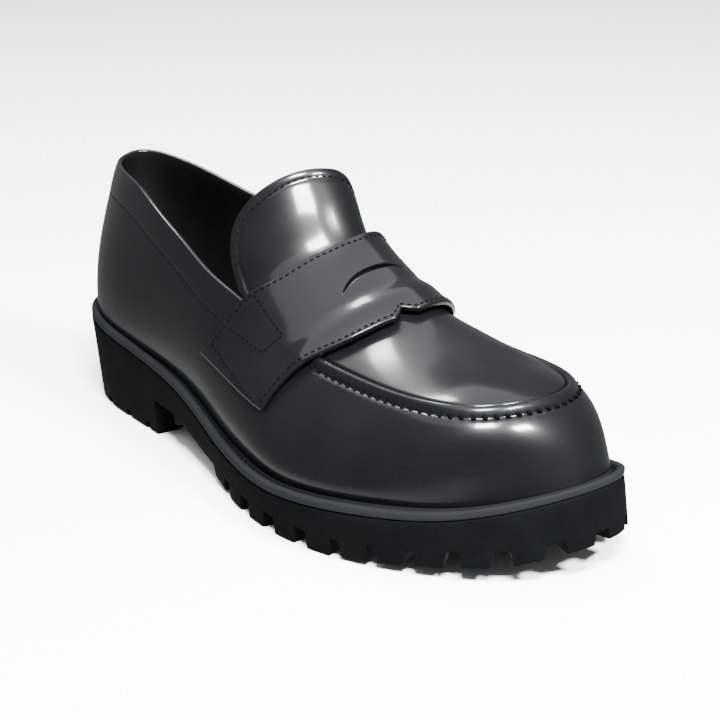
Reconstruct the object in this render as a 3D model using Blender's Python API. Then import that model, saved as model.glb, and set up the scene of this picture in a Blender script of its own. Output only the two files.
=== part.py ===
"""A chunky lug sole penny loafer for the right foot, standing empty on its sole.

Places on the shoe are x, across to the medial side, s, forward from the back of the heel,
and z, up from the floor, in millimetres. The tables give them as percentages of the
driving sizes below, and world() turns them into metres about the middle of the shoe.
"""
import math

import bmesh
import bpy
import numpy as np

# Driving sizes of the shoe
LENGTH = 300.0
BALL_WIDTH = 115.0
INSTEP_HEIGHT = 98.0
COLLAR_HEIGHT = 106.0
HEEL_SEAT_HEIGHT = 44.0

# Sizes of the pieces
WALL = 2.4
STRAP_THICKNESS = 1.9
TONGUE_THICKNESS = 2.2
INSOLE_THICKNESS = 3.0
WELT_THICKNESS = 3.4
WELT_SEAT = 11.0
CLEARANCE = 0.3
SEAM_WIDTH = 5.6
SEAM_HEIGHT = 1.7
COLLAR_BAND = 12.5
COLLAR_SWELL = 0.7
MIDDLE_X = -6.1
MIDDLE_S = 153.0
METRE = 0.001

# The edge of the sole and the seam or topline above it, from the heel's back round the lateral side.
# x is in percent of the ball width, s of the length, seam z of the collar height, leans are in degrees
# from upright, outward at the feather and inward at the seam, and ridge s is where that column ends.
# Columns: edge x, edge s, seam x, seam s, seam z, low lean, high lean, ridge s
AROUND = (
    (2.6, 1.3, 5.0, 3.4, 100.9, 7, 12, 30.0),
    (-9.0, 2.3, -2.2, 4.8, 99.8, 3, 16, 32.0),
    (-18.4, 5.1, -8.3, 8.0, 99.3, 2, 18, 34.0),
    (-25.7, 10.0, -13.9, 12.8, 98.9, 3, 18, 36.0),
    (-30.4, 17.7, -19.1, 19.3, 96.8, 5, 16, 39.0),
    (-33.2, 27.3, -24.0, 26.7, 90.6, 6, 13, 42.0),
    (-36.5, 36.0, -27.0, 34.0, 83.0, 6, 13, 45.0),
    (-41.0, 43.3, -29.2, 41.3, 75.0, 6, 17, 49.5),
    (-45.4, 49.0, -29.4, 47.5, 69.6, 7, 25, 55.0),
    (-51.3, 56.7, -30.8, 55.0, 61.6, 9, 34, 60.3),
    (-54.8, 63.3, -32.0, 62.3, 55.7, 10, 41, 65.3),
    (-55.4, 70.0, -32.8, 69.7, 53.8, 10, 44, 71.3),
    (-52.4, 77.3, -33.0, 76.7, 53.3, 8, 45, 77.3),
    (-44.3, 85.3, -31.3, 83.7, 53.8, 4, 46, 82.0),
    (-33.0, 91.8, -25.2, 89.0, 54.2, -4, 47, 84.0),
    (-17.4, 97.4, -12.2, 92.3, 54.7, -14, 48, 84.5),
    (2.6, 100.0, 2.6, 93.2, 54.7, -22, 49, 84.5),
    (22.0, 97.4, 15.2, 91.9, 54.7, -14, 48, 84.5),
    (32.2, 91.2, 23.6, 88.6, 54.2, 0, 46, 84.0),
    (38.2, 84.0, 28.4, 83.5, 53.8, 5, 44, 82.0),
    (41.7, 76.7, 31.4, 76.7, 53.3, 8, 43, 77.3),
    (44.6, 69.3, 33.0, 69.7, 53.8, 9, 42, 71.3),
    (43.6, 62.7, 32.4, 62.3, 55.7, 9, 39, 65.3),
    (39.4, 56.0, 31.0, 55.0, 62.3, 8, 33, 60.3),
    (34.5, 49.0, 29.4, 47.5, 71.0, 7, 25, 55.0),
    (30.8, 43.0, 28.2, 41.3, 77.0, 6, 17, 49.5),
    (29.1, 36.0, 27.0, 34.0, 84.0, 7, 13, 45.0),
    (30.2, 26.7, 25.2, 25.7, 89.2, 8, 13, 42.0),
    (31.3, 17.7, 22.8, 18.0, 94.2, 8, 13, 39.0),
    (29.6, 9.7, 20.5, 10.7, 98.2, 8, 12, 36.0),
    (23.6, 5.1, 16.7, 5.8, 100.6, 8, 12, 34.0),
    (14.2, 2.3, 11.3, 3.5, 101.3, 8, 12, 32.0),
)

# The line over the top of the foot, from the toe to the tongue's end:
# s in percent of the length, x of the ball width, z of the instep height.
# Columns: s, x, z
RIDGE = (
    (40.0, 11.0, 151.0),
    (47.3, 9.8, 129.0),
    (55.0, 7.4, 99.0),
    (61.7, 5.0, 85.5),
    (68.3, 4.0, 76.0),
    (75.0, 3.8, 71.2),
    (83.0, 3.5, 67.3),
    (91.0, 3.6, 64.4),
)

# The sole from the side: s in percent of the length, then in percent of the heel seat height the
# seat, the floor of the tread and the floor between its lugs, and in millimetres the inset of the
# floor's edge from the seat's edge and the reach of the sole beyond the upper.
# Columns: s, seat, lug, gap, tuck, reach
PROFILE = (
    (0.0, 99.8, 0.0, 7.0, 3.6, 3.0),
    (10.0, 93.0, 0.0, 7.0, 3.8, 3.0),
    (20.0, 86.6, 0.0, 7.0, 3.8, 3.2),
    (27.7, 80.0, 0.0, 7.0, 3.2, 3.6),
    (36.7, 69.8, 31.0, 31.0, 2.5, 4.0),
    (42.3, 61.0, 21.6, 21.6, 2.2, 4.2),
    (48.5, 52.0, 5.6, 15.5, 2.0, 4.5),
    (55.0, 47.0, 0.0, 15.0, 1.1, 5.0),
    (63.3, 44.8, 0.0, 15.0, 0.9, 5.2),
    (75.0, 50.0, 0.0, 15.5, 1.2, 5.2),
    (81.7, 54.0, 5.0, 17.8, 1.0, 5.2),
    (90.0, 60.5, 11.6, 25.0, -0.5, 5.0),
    (95.0, 69.5, 16.2, 28.8, -2.5, 5.0),
    (100.0, 81.4, 27.8, 37.5, -4.0, 5.0),
)

# Tread. The lugs' middles are in percent of the way along the edge from the tread's start to the toe.
HEEL_BREAST = 83.0
BREAST_SLOPE = 1.6
BREAST_GAP_FLOOR = 16.4
HEEL_NOTCHES = (16.0, 35.0, 55.0, 73.0)
HEEL_NOTCH_WIDTH = 4.5
HEEL_NOTCH_SLOPE = 0.7
WAIST_COLUMNS = 6
WAIST_LENGTH = 20.0
TREAD_START = 144.0
LUG_MIDDLES = (3.0, 12.5, 22.5, 32.5, 42.0, 50.5, 58.5, 66.5, 75.5, 85.0, 95.0)
LUG_LENGTH = 9.0
LUG_SLOPE = 2.2
EDGE_LUG_DEPTH = 12.0
CENTRE_LUG_FROM = 0.27
CENTRE_LUG_SLOPE = 0.04


class Curve:
    """A smooth cubic through the rows of a table, closed where it has a period."""

    def __init__(self, knots, rows, period=None):
        knots = np.asarray(knots, float)
        rows = np.asarray(rows, float)
        if period:
            knots = np.append(knots, knots[0] + period)
            rows = np.vstack([rows, rows[:1]])
        step = np.diff(knots)
        slope = np.diff(rows, axis=0) / step[:, None]
        system = np.eye(len(knots))
        right = np.zeros_like(rows)
        for k in range(1, len(knots) - 1):
            system[k, k - 1:k + 2] = step[k - 1], 2 * (step[k - 1] + step[k]), step[k]
            right[k] = 6 * (slope[k] - slope[k - 1])
        if period:
            system[0, [0, 1, -2]] = 2 * (step[0] + step[-1]), step[0], step[-1]
            right[0] = 6 * (slope[0] - slope[-1])
            system[-1, 0] = -1
        self.knots, self.rows, self.period = knots, rows, period
        self.bend = np.linalg.solve(system, right)

    def __call__(self, at):
        at = np.asarray(at, float)
        if self.period:
            at = self.knots[0] + np.mod(at - self.knots[0], self.period)
        k = np.clip(np.searchsorted(self.knots, at, side="right") - 1, 0, len(self.knots) - 2)
        width = (self.knots[k + 1] - self.knots[k])[..., None]
        after = (at - self.knots[k])[..., None] / width
        before = 1 - after
        curved = (before ** 3 - before) * self.bend[k] + (after ** 3 - after) * self.bend[k + 1]
        return before * self.rows[k] + after * self.rows[k + 1] + curved * width ** 2 / 6


def unit(vectors):
    """Scale vectors to a length of one."""
    return vectors / np.linalg.norm(vectors, axis=-1, keepdims=True)


def ease(value):
    """Rise smoothly from 0 to 1 as the value does."""
    value = np.clip(value, 0, 1)
    return value * value * (3 - 2 * value)


# The tables in millimetres, as smooth curves
AROUND_SCALE = np.array((BALL_WIDTH, LENGTH, BALL_WIDTH, LENGTH, COLLAR_HEIGHT, 100, 100, LENGTH)) / 100
AROUND_ROWS = np.array(AROUND) * AROUND_SCALE
EDGE_STEPS = np.linalg.norm(np.roll(AROUND_ROWS, -1, axis=0)[:, :2] - AROUND_ROWS[:, :2], axis=1)
EDGE_LENGTH = EDGE_STEPS.sum()
EDGE_KNOTS = np.append(0, np.cumsum(EDGE_STEPS)[:-1])
AROUND_CURVE = Curve(EDGE_KNOTS, AROUND_ROWS, EDGE_LENGTH)
TOE_ROW = int(np.argmax(AROUND_ROWS[:, 1]))
TOE_PLACE = EDGE_KNOTS[TOE_ROW]

RIDGE_ROWS = np.array(RIDGE) * np.array((LENGTH, BALL_WIDTH, INSTEP_HEIGHT)) / 100
RIDGE_CURVE = Curve(RIDGE_ROWS[:, 0], RIDGE_ROWS[:, 1:])
PROFILE_SCALE = np.array((LENGTH, HEEL_SEAT_HEIGHT, HEEL_SEAT_HEIGHT, HEEL_SEAT_HEIGHT, 100, 100)) / 100
PROFILE_ROWS = np.array(PROFILE) * PROFILE_SCALE
SEAT_CURVE = Curve(PROFILE_ROWS[:, 0], PROFILE_ROWS[:, [1, 4, 5]])
RIDGE_END = 0.82 * LENGTH

# The foot's crest rises a little to the medial side, whose shoulder is the fuller one
CREST_TILT = 0.12
VAMP_FULLNESS = 0.36
MEDIAL_FULLNESS = 0.16


def seat(s):
    """Height of the sole's top at s."""
    return SEAT_CURVE(s)[..., 0]


def edge(place, inset=0.0):
    """Point x, s of the sole's outline, moved inward by the inset. Places run along the edge."""
    place = np.asarray(place, float)
    ahead = AROUND_CURVE(place + 0.5)[..., :2] - AROUND_CURVE(place - 0.5)[..., :2]
    ahead = unit(ahead)
    inward = np.stack([ahead[..., 1], -ahead[..., 0]], axis=-1)
    return AROUND_CURVE(place)[..., :2] + inward * np.asarray(inset)[..., None]


def ridge(s):
    """Point of the line over the top of the foot."""
    return np.concatenate([RIDGE_CURVE(s)[..., :1], s[..., None], RIDGE_CURVE(s)[..., 1:]], axis=-1)


def bezier(start, near, far, end, t):
    """Cubic Bezier through arrays of control points."""
    t = t[..., None]
    return ((1 - t) ** 3 * start + 3 * t * (1 - t) ** 2 * near
            + 3 * t ** 2 * (1 - t) * far + t ** 3 * end)


def smooth_skin(place, t):
    """Point of the last: t is 0 at the feather, 1 at the seam or topline and 2 on the ridge."""
    place, t = np.broadcast_arrays(np.asarray(place, float), np.asarray(t, float))
    row = AROUND_CURVE(place)
    rim = edge(place)
    foot = edge(place, SEAT_CURVE(rim[..., 1])[..., 2])
    feather = np.concatenate([foot, (seat(foot[..., 1]) + CLEARANCE)[..., None]], axis=-1)
    seam = row[..., 2:5]
    out = unit(rim - edge(place, 1.0))
    along = AROUND_CURVE(place + 1.0)[..., 2:4] - AROUND_CURVE(place - 1.0)[..., 2:4]
    along = unit(along)
    inward = np.stack([along[..., 1], -along[..., 0]], axis=-1)
    low = np.radians(row[..., 5:6])
    rise = np.radians(90 - row[..., 6:7])
    start = np.concatenate([out * np.sin(low), np.cos(low)], axis=-1)
    arrive = np.concatenate([inward * np.cos(rise), np.sin(rise)], axis=-1)
    reach = 0.38 * np.linalg.norm(seam - feather, axis=-1, keepdims=True)
    wall = bezier(feather, feather + start * reach, seam - arrive * reach, seam, np.clip(t, 0, 1))

    top_s = np.minimum(row[..., 7], RIDGE_END)
    top = ridge(top_s)
    slope = (ridge(top_s + 1.0) - ridge(top_s - 1.0))[..., 2:3] / 2
    towards = (top - seam)[..., :2]
    fanned = ease((seam[..., 1] / LENGTH - 0.81) / 0.07)
    across = unit(towards * np.stack([np.ones_like(fanned), fanned], axis=-1))
    climb = across[..., 1:2] * slope + across[..., :1] * CREST_TILT * (1 - fanned[..., None])
    land = unit(np.concatenate([across, climb], axis=-1))
    lower = np.radians(14) * ease((seam[..., 1:2] / LENGTH - 0.55) / 0.1)
    leave = np.concatenate([inward * np.cos(rise - lower), np.sin(rise - lower)], axis=-1)
    span = np.linalg.norm(top - seam, axis=-1, keepdims=True)
    medial = (np.mod(place, EDGE_LENGTH) > TOE_PLACE) * (1 - fanned)
    shoulder = span * (VAMP_FULLNESS + MEDIAL_FULLNESS * medial[..., None])
    vamp = bezier(seam, seam + leave * VAMP_FULLNESS * span, top - land * shoulder, top, np.clip(t - 1, 0, 1))
    return np.where(t[..., None] <= 1, wall, vamp)


def skin_normal(place, t):
    """Outward normal of the last. On the ridge it is level across the foot."""
    place, t = np.broadcast_arrays(np.asarray(place, float), np.asarray(t, float))
    inner_t = np.minimum(t, 1.97)
    forward = smooth_skin(place + 0.7, inner_t) - smooth_skin(place - 0.7, inner_t)
    upward = smooth_skin(place, inner_t + 0.02) - smooth_skin(place, np.maximum(inner_t - 0.02, 0))
    found = unit(np.cross(upward, forward))
    top_s = np.minimum(AROUND_CURVE(place)[..., 7], RIDGE_END)
    slope = (ridge(top_s + 1.0) - ridge(top_s - 1.0))[..., 2] / 2
    tilt = np.where(AROUND_CURVE(place)[..., 7] < RIDGE_END, CREST_TILT, 0)
    level = unit(np.stack([-tilt, -slope, np.ones_like(slope)], axis=-1))
    return np.where(t[..., None] >= 1.995, level, found)


def skin(place, t, lift=0.0):
    """Point of the last raised by a lift, or sunk below it where the lift is negative."""
    return smooth_skin(place, t) + skin_normal(place, t) * np.asarray(lift)[..., None]


def seam_lift(place, t):
    """Height of the rolled apron seam, which fades out under the strap."""
    row = AROUND_CURVE(place)
    span = np.linalg.norm(ridge(np.minimum(row[..., 7], RIDGE_END)) - row[..., 2:5], axis=-1)
    over = (t - 1) * span / SEAM_WIDTH
    bump = np.sin(np.pi * np.clip(over, 0, 1)) * (t >= 1)
    return SEAM_HEIGHT * bump * ease((row[..., 3] / LENGTH - 0.61) / 0.025)


def collar_lift(place, t):
    """Soft swell of the band that binds the topline."""
    height = np.linalg.norm(smooth_skin(place, np.ones_like(t)) - smooth_skin(place, t), axis=-1)
    behind = 1 - ease((AROUND_CURVE(place)[..., 3] / LENGTH - 0.40) / 0.07)
    return COLLAR_SWELL * np.sin(np.pi * np.clip(height / COLLAR_BAND, 0, 1)) * (t <= 1) * behind


def place_of_ridge(side, ridge_s):
    """Place on the edge, on the lateral (1) or medial (-1) side, of the column ending at ridge_s."""
    start, end = (0.3 * TOE_PLACE, TOE_PLACE) if side > 0 else (EDGE_LENGTH - 0.3 * TOE_PLACE, TOE_PLACE)
    places = np.linspace(start, end, 400)
    values = AROUND_CURVE(places)[:, 7]
    reached = np.maximum.accumulate(values)
    keep = np.append(True, np.diff(reached) > 0)
    return np.interp(ridge_s, reached[keep], places[keep])


def place_of_s(side, s):
    """Place on the edge of the sole where the lateral (1) or medial (-1) side passes s."""
    places = np.linspace(0, TOE_PLACE if side > 0 else TOE_PLACE - EDGE_LENGTH, 800)
    return np.interp(s, AROUND_CURVE(places)[:, 1], places)


def on_last(v, station):
    """Place and t of points that lie at v across the foot, on the columns of the given ridge stations.

    v is 0 at the lateral feather, 1 at its seam, 2 on the ridge, 3 at the medial seam and 4 at its feather.
    """
    v, station = np.broadcast_arrays(v, station)
    place = np.where(v <= 2, place_of_ridge(1, station), place_of_ridge(-1, station))
    return place, np.minimum(v, 4 - v)


def world(points):
    """Turn x, s, z in millimetres into Blender's metres, the toe towards -Y."""
    points = np.asarray(points, float)
    return np.stack([points[..., 0] - MIDDLE_X, MIDDLE_S - points[..., 1], points[..., 2]], axis=-1) * METRE


def material(name, colour, roughness):
    """Plain finish of one sub-part."""
    finish = bpy.data.materials.new(name)
    finish.use_nodes = True
    shader = finish.node_tree.nodes["Principled BSDF"]
    shader.inputs["Base Color"].default_value = (*colour, 1)
    shader.inputs["Roughness"].default_value = roughness
    return finish


class Solid:
    """Points and faces of one sub-part, gathered until it becomes an object."""

    def __init__(self):
        self.mesh = bmesh.new()

    def points(self, places):
        """Add points and return their vertices in the same layout."""
        flat = world(places).reshape(-1, 3)
        made = [self.mesh.verts.new(tuple(point)) for point in flat]
        return np.array(made, dtype=object).reshape(np.shape(places)[:-1])

    def face(self, *corners):
        """Add one face, leaving out corners that coincide."""
        kept = []
        for corner in corners:
            if corner not in kept:
                kept.append(corner)
        if len(kept) > 2:
            self.mesh.faces.new(kept)

    def sheet(self, grid, closed=False):
        """Join the rows of a grid of vertices with faces."""
        count = grid.shape[1]
        for row in range(grid.shape[0] - 1):
            for k in range(count if closed else count - 1):
                after = (k + 1) % count
                self.face(grid[row, k], grid[row, after], grid[row + 1, after], grid[row + 1, k])

    def shell(self, outer, inner, kept):
        """Join two matching grids into a closed sheet of leather, leaving out the cells not kept."""
        cells = np.pad(kept, 1)
        for row in range(kept.shape[0]):
            for k in range(kept.shape[1]):
                if not kept[row, k]:
                    continue
                corners = ((row, k), (row, k + 1), (row + 1, k + 1), (row + 1, k))
                for grid in (outer, inner):
                    self.face(*[grid[corner] for corner in corners])
                beside = (cells[row, k + 1], cells[row + 1, k + 2], cells[row + 2, k + 1], cells[row + 1, k])
                for number, neighbour in enumerate(beside):
                    if not neighbour:
                        start, end = corners[number], corners[(number + 1) % 4]
                        self.face(outer[start], outer[end], inner[end], inner[start])

    def finish(self, name, finish, smooth_angle=35):
        """Close the sub-part into a named object with its faces pointing out."""
        bmesh.ops.recalc_face_normals(self.mesh, faces=self.mesh.faces[:])
        data = bpy.data.meshes.new(name)
        self.mesh.to_mesh(data)
        self.mesh.free()
        data.materials.append(finish)
        data.shade_smooth()
        data.set_sharp_from_angle(angle=math.radians(smooth_angle))
        made = bpy.data.objects.new(name, data)
        bpy.context.scene.collection.objects.link(made)
        return made


def ring_points(places, inset, height):
    """Closed ring of points inside the sole's edge at the given heights."""
    flat = edge(places, np.broadcast_to(inset, np.shape(places)))
    return np.concatenate([flat, np.broadcast_to(height, np.shape(places))[..., None]], axis=-1)


def cap(solid, ring):
    """Fill a closed ring across, pairing the points of its two sides. The ring starts at the heel."""
    half = len(ring) // 2
    for k in range(half):
        solid.face(ring[k], ring[k + 1], ring[-k - 1], ring[-k % len(ring)])


# Outsole

def side_columns(side):
    """Columns of one side of the tread, heel to toe: place on the edge and the floor's share of lug."""
    columns = []
    cut = math.copysign(HEEL_NOTCH_WIDTH, side)
    slope = math.copysign(HEEL_NOTCH_SLOPE, side)
    for k, s in enumerate(HEEL_NOTCHES):
        first = place_of_s(side, s)
        columns += [(first, 1), (first + slope, 0), (first + cut - slope, 0), (first + cut, 1)]
        following = HEEL_NOTCHES[k + 1] if k + 1 < len(HEEL_NOTCHES) else HEEL_BREAST
        columns.append((place_of_s(side, (s + HEEL_NOTCH_WIDTH + following) / 2 + 1), 1))
    columns.append((place_of_s(side, HEEL_BREAST), 1))
    columns.append((place_of_s(side, HEEL_BREAST + BREAST_SLOPE), 0))
    for s in np.linspace(HEEL_BREAST + BREAST_SLOPE, TREAD_START, WAIST_COLUMNS + 2)[1:-1]:
        columns.append((place_of_s(side, s), 0))
    start = place_of_s(side, TREAD_START)
    end = TOE_PLACE if side > 0 else TOE_PLACE - EDGE_LENGTH
    half = math.copysign(0.5 * LUG_LENGTH, side)
    slope = math.copysign(LUG_SLOPE, side)
    for percent in LUG_MIDDLES:
        middle = start + (end - start) * percent / 100
        columns += [(middle - half - slope, 0), (middle - half, 1), (middle, 1)]
        columns += [(middle + half, 1), (middle + half + slope, 0)]
    return columns


def outsole_columns():
    """Places and lug shares all round the sole, starting and ending at the heel's back."""
    lateral = side_columns(1)
    medial = side_columns(-1)
    ring = [(0.0, 1)] + lateral + [(TOE_PLACE, 0)] + medial[::-1]
    return np.array([place for place, _ in ring]), np.array([share for _, share in ring])


def tread_floor(s, share):
    """Height of the underside: lugs where the share is 1, the floor between them where it is 0."""
    lug = np.interp(s, PROFILE_ROWS[:, 0], PROFILE_ROWS[:, 2])
    gap = np.interp(s, PROFILE_ROWS[:, 0], PROFILE_ROWS[:, 3])
    waist = (s > HEEL_BREAST + 0.5 * BREAST_SLOPE) & (s < HEEL_BREAST + WAIST_LENGTH)
    gap = np.where(waist, BREAST_GAP_FLOOR - (s - HEEL_BREAST) / WAIST_LENGTH, gap)
    return np.where(share > 0.5, lug, gap)


def build_outsole():
    """Lugged rubber unit with heel, arch and toe spring, stepped down round its top for the welt."""
    solid = Solid()
    places, share = outsole_columns()
    rim_s = edge(places)[:, 1]
    top = seat(rim_s)
    ledge = top - WELT_THICKNESS - CLEARANCE
    floor = tread_floor(rim_s, share)
    open_floor = tread_floor(rim_s, 0 * share)
    tuck = SEAT_CURVE(rim_s)[:, 1]

    def wall_inset(height):
        return tuck * (ledge - height) / ledge

    plateau = WELT_SEAT + CLEARANCE
    plateau_s = edge(places, np.full(len(places), plateau))[:, 1]
    inner_floor = np.where(share > 0.5, floor, open_floor)
    foot = wall_inset(floor)
    rings = [
        ring_points(places, plateau, seat(plateau_s)),
        ring_points(places, plateau, seat(plateau_s) - WELT_THICKNESS - CLEARANCE),
        ring_points(places, 0.4, ledge),
        ring_points(places, 0.0, ledge - 0.5),
        ring_points(places, wall_inset(0.5 * (ledge + open_floor)), 0.5 * (ledge + open_floor)),
        ring_points(places, foot, floor),
        ring_points(places, foot + EDGE_LUG_DEPTH, inner_floor),
        ring_points(places, foot + EDGE_LUG_DEPTH + 1.2, open_floor),
    ]
    grid = np.array([solid.points(ring) for ring in rings])
    solid.sheet(grid, closed=True)
    cap(solid, grid[0])

    inner = rings[-1]
    half = len(places) // 2
    last = len(places)
    shares = (0.0, CENTRE_LUG_FROM - CENTRE_LUG_SLOPE, CENTRE_LUG_FROM,
              1 - CENTRE_LUG_FROM, 1 - CENTRE_LUG_FROM + CENTRE_LUG_SLOPE, 1.0)
    rows = []
    for k in range(1, half):
        left, right = inner[k], inner[last - k]
        row = [grid[-1, k]]
        for number in range(1, len(shares) - 1):
            point = left + (right - left) * shares[number]
            if number in (2, 3):
                point[2] = 0.5 * (inner_floor[k] + inner_floor[last - k])
            row.append(solid.points(point[None])[0])
        row.append(grid[-1, last - k])
        rows.append(row)
    rows = np.array(rows, dtype=object)
    solid.sheet(rows)
    for end, row in ((grid[-1, 0], rows[0]), (grid[-1, half], rows[-1])):
        for k in range(len(row) - 1):
            solid.face(end, row[k], row[k + 1])
    return solid.finish("outsole", material("outsole", (0.025, 0.025, 0.026), 0.55))


# Welt

def build_welt():
    """Rounded strip that runs round the sole's top edge and is stitched to it."""
    solid = Solid()
    places, _ = outsole_columns()
    section = ((0.9, 0.0), (0.15, 0.7), (0.0, 1.6), (0.5, WELT_THICKNESS),
               (WELT_SEAT, WELT_THICKNESS), (WELT_SEAT, 0.0))
    rings = []
    for inset, depth in section:
        at = edge(places, np.full(len(places), inset))
        rings.append(np.concatenate([at, (seat(at[:, 1]) - depth)[:, None]], axis=-1))
    grid = np.array([solid.points(ring) for ring in rings + rings[:1]])
    grid[-1] = grid[0]
    solid.sheet(grid, closed=True)
    loose = [vert for vert in solid.mesh.verts if not vert.link_faces]
    bmesh.ops.delete(solid.mesh, geom=loose, context="VERTS")
    return solid.finish("welt", material("welt", (0.035, 0.035, 0.036), 0.42))


# Insole

def build_insole():
    """Sock that lies on the sole's top inside the upper."""
    solid = Solid()
    places = np.linspace(0, EDGE_LENGTH, 72, endpoint=False)
    reach = SEAT_CURVE(edge(places)[:, 1])[:, 2]
    rings = []
    for extra, height in ((0.7, CLEARANCE), (0.7, INSOLE_THICKNESS - 0.8), (1.6, INSOLE_THICKNESS)):
        at = edge(places, reach + WALL + extra)
        rings.append(np.concatenate([at, (seat(at[:, 1]) + height)[:, None]], axis=-1))
    grid = np.array([solid.points(ring) for ring in rings])
    solid.sheet(grid, closed=True)
    cap(solid, grid[0])
    cap(solid, grid[-1])
    return solid.finish("insole", material("insole", (0.02, 0.02, 0.02), 0.6))


# Upper

THROAT_RIDGE = 0.566 * LENGTH
THROAT_SWEEP = 0.012 * LENGTH
REAR_COLUMNS = 40
VAMP_COLUMNS = 13
TOE_COLUMNS = 19
WALL_ROWS = np.array((0.0, 0.1, 0.25, 0.42, 0.6, 0.76, 0.9, 1.0))
ROLL_ROWS = np.array((0.2, 0.5, 0.8, 1.0))
APRON_ROWS = np.array((0.2, 0.4, 0.6, 0.8))


def sweep(t):
    """How far the throat's line runs ahead of its column between the seam and the ridge."""
    return THROAT_SWEEP * np.sin(np.pi * np.clip(t - 1, 0, 1))


def apron_shares(place):
    """Shares of the way from the seam to the ridge, the first ones on the rolled seam."""
    row = AROUND_CURVE(place)
    span = np.linalg.norm(ridge(np.minimum(row[..., 7], RIDGE_END)) - row[..., 2:5], axis=-1)
    roll = SEAM_WIDTH / span
    return np.concatenate([roll * ROLL_ROWS, roll + (1 - roll) * APRON_ROWS])


def apron_columns(side):
    """Place and t of each apron column of one side, from the throat to the fan at the toe."""
    stations = np.linspace(THROAT_RIDGE, RIDGE_END, VAMP_COLUMNS)
    columns = []
    for station in stations:
        t = 1 + apron_shares(place_of_ridge(side, station))
        fade = (RIDGE_END - station) / (RIDGE_END - THROAT_RIDGE)
        columns.append((place_of_ridge(side, station + sweep(t) * fade), t))
    return stations, columns


def build_upper():
    """Hollow shell of vamp, apron and quarters, open at the collar and underneath."""
    solid = Solid()
    stations, lateral = apron_columns(1)
    _, medial = apron_columns(-1)
    lateral_places = place_of_ridge(1, stations)
    medial_places = place_of_ridge(-1, stations)[::-1]
    toe_places = np.linspace(lateral_places[-1], medial_places[0], TOE_COLUMNS)[1:-1]
    rear_places = np.linspace(medial_places[-1], lateral_places[0] + EDGE_LENGTH, REAR_COLUMNS)[1:-1]
    places = np.concatenate([lateral_places, toe_places, medial_places, rear_places])
    toe = [(np.full(len(ROLL_ROWS) + len(APRON_ROWS), place), 1 + apron_shares(place)) for place in toe_places]
    columns = lateral + toe + medial[::-1]
    shells = []
    for depth in (0.0, WALL):
        place_grid, t_grid = np.meshgrid(places, WALL_ROWS)
        lift = collar_lift(place_grid, t_grid) * (depth == 0)
        points = skin(place_grid, t_grid, lift - depth)
        sole_line = np.clip(1 - t_grid / WALL_ROWS[1], 0, 1) * (depth > 0)
        points[..., 2] += (seat(points[..., 1]) + CLEARANCE - points[..., 2]) * sole_line
        wall = solid.points(points)
        rows = []
        for place, t in columns:
            lift = seam_lift(place, t) * (depth == 0)
            rows.append(solid.points(skin(place, t, lift - depth)))
        crest = solid.points(skin(lateral_places, 2.0, np.full(len(stations), -depth)))
        ends = np.concatenate([crest, np.full(len(toe), crest[-1]), crest[::-1]])
        apron = np.column_stack([wall[-1, :len(columns)], np.array(rows), ends])
        solid.sheet(wall, closed=True)
        solid.sheet(apron.T)
        shells.append((wall, apron))
    (outer_wall, outer_apron), (inner_wall, inner_apron) = shells
    solid.sheet(np.array([outer_wall[0], inner_wall[0]]), closed=True)
    for outer, inner in ((outer_apron[0], inner_apron[0]), (outer_apron[-1], inner_apron[-1])):
        solid.sheet(np.array([outer, inner]))
    topline = np.arange(len(columns) - 1, len(places) + 1) % len(places)
    solid.sheet(np.array([outer_wall[-1, topline], inner_wall[-1, topline]]))
    return solid.finish("upper", material("upper", (0.012, 0.012, 0.013), 0.18))


# Strap

# Edges of the strap across the foot, as ridge stations in percent of the length.
# Columns: v, back, front
STRAP_EDGES = (
    (0.45, 49.8, 62.8),
    (0.62, 52.2, 63.6),
    (0.80, 54.1, 64.5),
    (1.00, 55.5, 65.7),
    (1.30, 56.8, 67.5),
    (1.60, 56.0, 68.2),
    (2.00, 55.1, 68.7),
    (2.40, 56.0, 68.3),
    (2.70, 56.8, 67.5),
    (3.00, 55.5, 65.7),
    (3.20, 54.1, 64.5),
    (3.38, 52.2, 63.6),
    (3.55, 49.8, 62.8),
)
STRAP_CURVE = Curve(np.array(STRAP_EDGES)[:, 0], np.array(STRAP_EDGES)[:, 1:] * LENGTH / 100)
STRAP_LOW = (0.45, 0.48)
STRAP_LIFT = 1.9
NOTCH_MIDDLE = 1.87
NOTCH_SPAN = 0.13
NOTCH_DEPTH = 0.014 * LENGTH
SLOT_MIDDLE = 1.93
SLOT_HALF_SPAN = 0.31
SLOT_BOW = 0.023 * LENGTH
SLOT_BOW_SPAN = 0.37
SLOT_SHARE = 0.52
SLOT_HALF_WIDTH = 0.75
SLOT_END_WIDTH = 0.35
WING_ROWS = 5
SADDLE_V = (1.0, 1.13, 1.27, 1.41, 1.52, 1.62, 1.72, 1.8, 1.87, 1.93,
            2.0, 2.07, 2.15, 2.24, 2.33, 2.45, 2.58, 2.72, 2.86, 3.0)
STRAP_SHARES = (0.0, 0.28, 0.82, 1.0)


def strap_line(share, v):
    """Ridge station of a line along the strap, from its back edge (0) to its front edge (1)."""
    back, front = np.moveaxis(STRAP_CURVE(v), -1, 0)
    notch = NOTCH_DEPTH * np.clip(1 - np.abs(v - NOTCH_MIDDLE) / NOTCH_SPAN, 0, 1) ** 1.5
    return back + (front - notch - back) * share


def slot_line(lip, v):
    """Ridge station of the coin slot's back (-1) or front (1) lip."""
    back, front = np.moveaxis(STRAP_CURVE(v), -1, 0)
    bow = SLOT_BOW * np.clip(1 - ((v - SLOT_MIDDLE) / SLOT_BOW_SPAN) ** 2, 0, 1)
    width = SLOT_END_WIDTH + SLOT_HALF_WIDTH * np.clip(1 - ((v - SLOT_MIDDLE) / SLOT_HALF_SPAN) ** 2, 0, 1)
    return back + (front - back) * SLOT_SHARE - bow + lip * width


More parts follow.
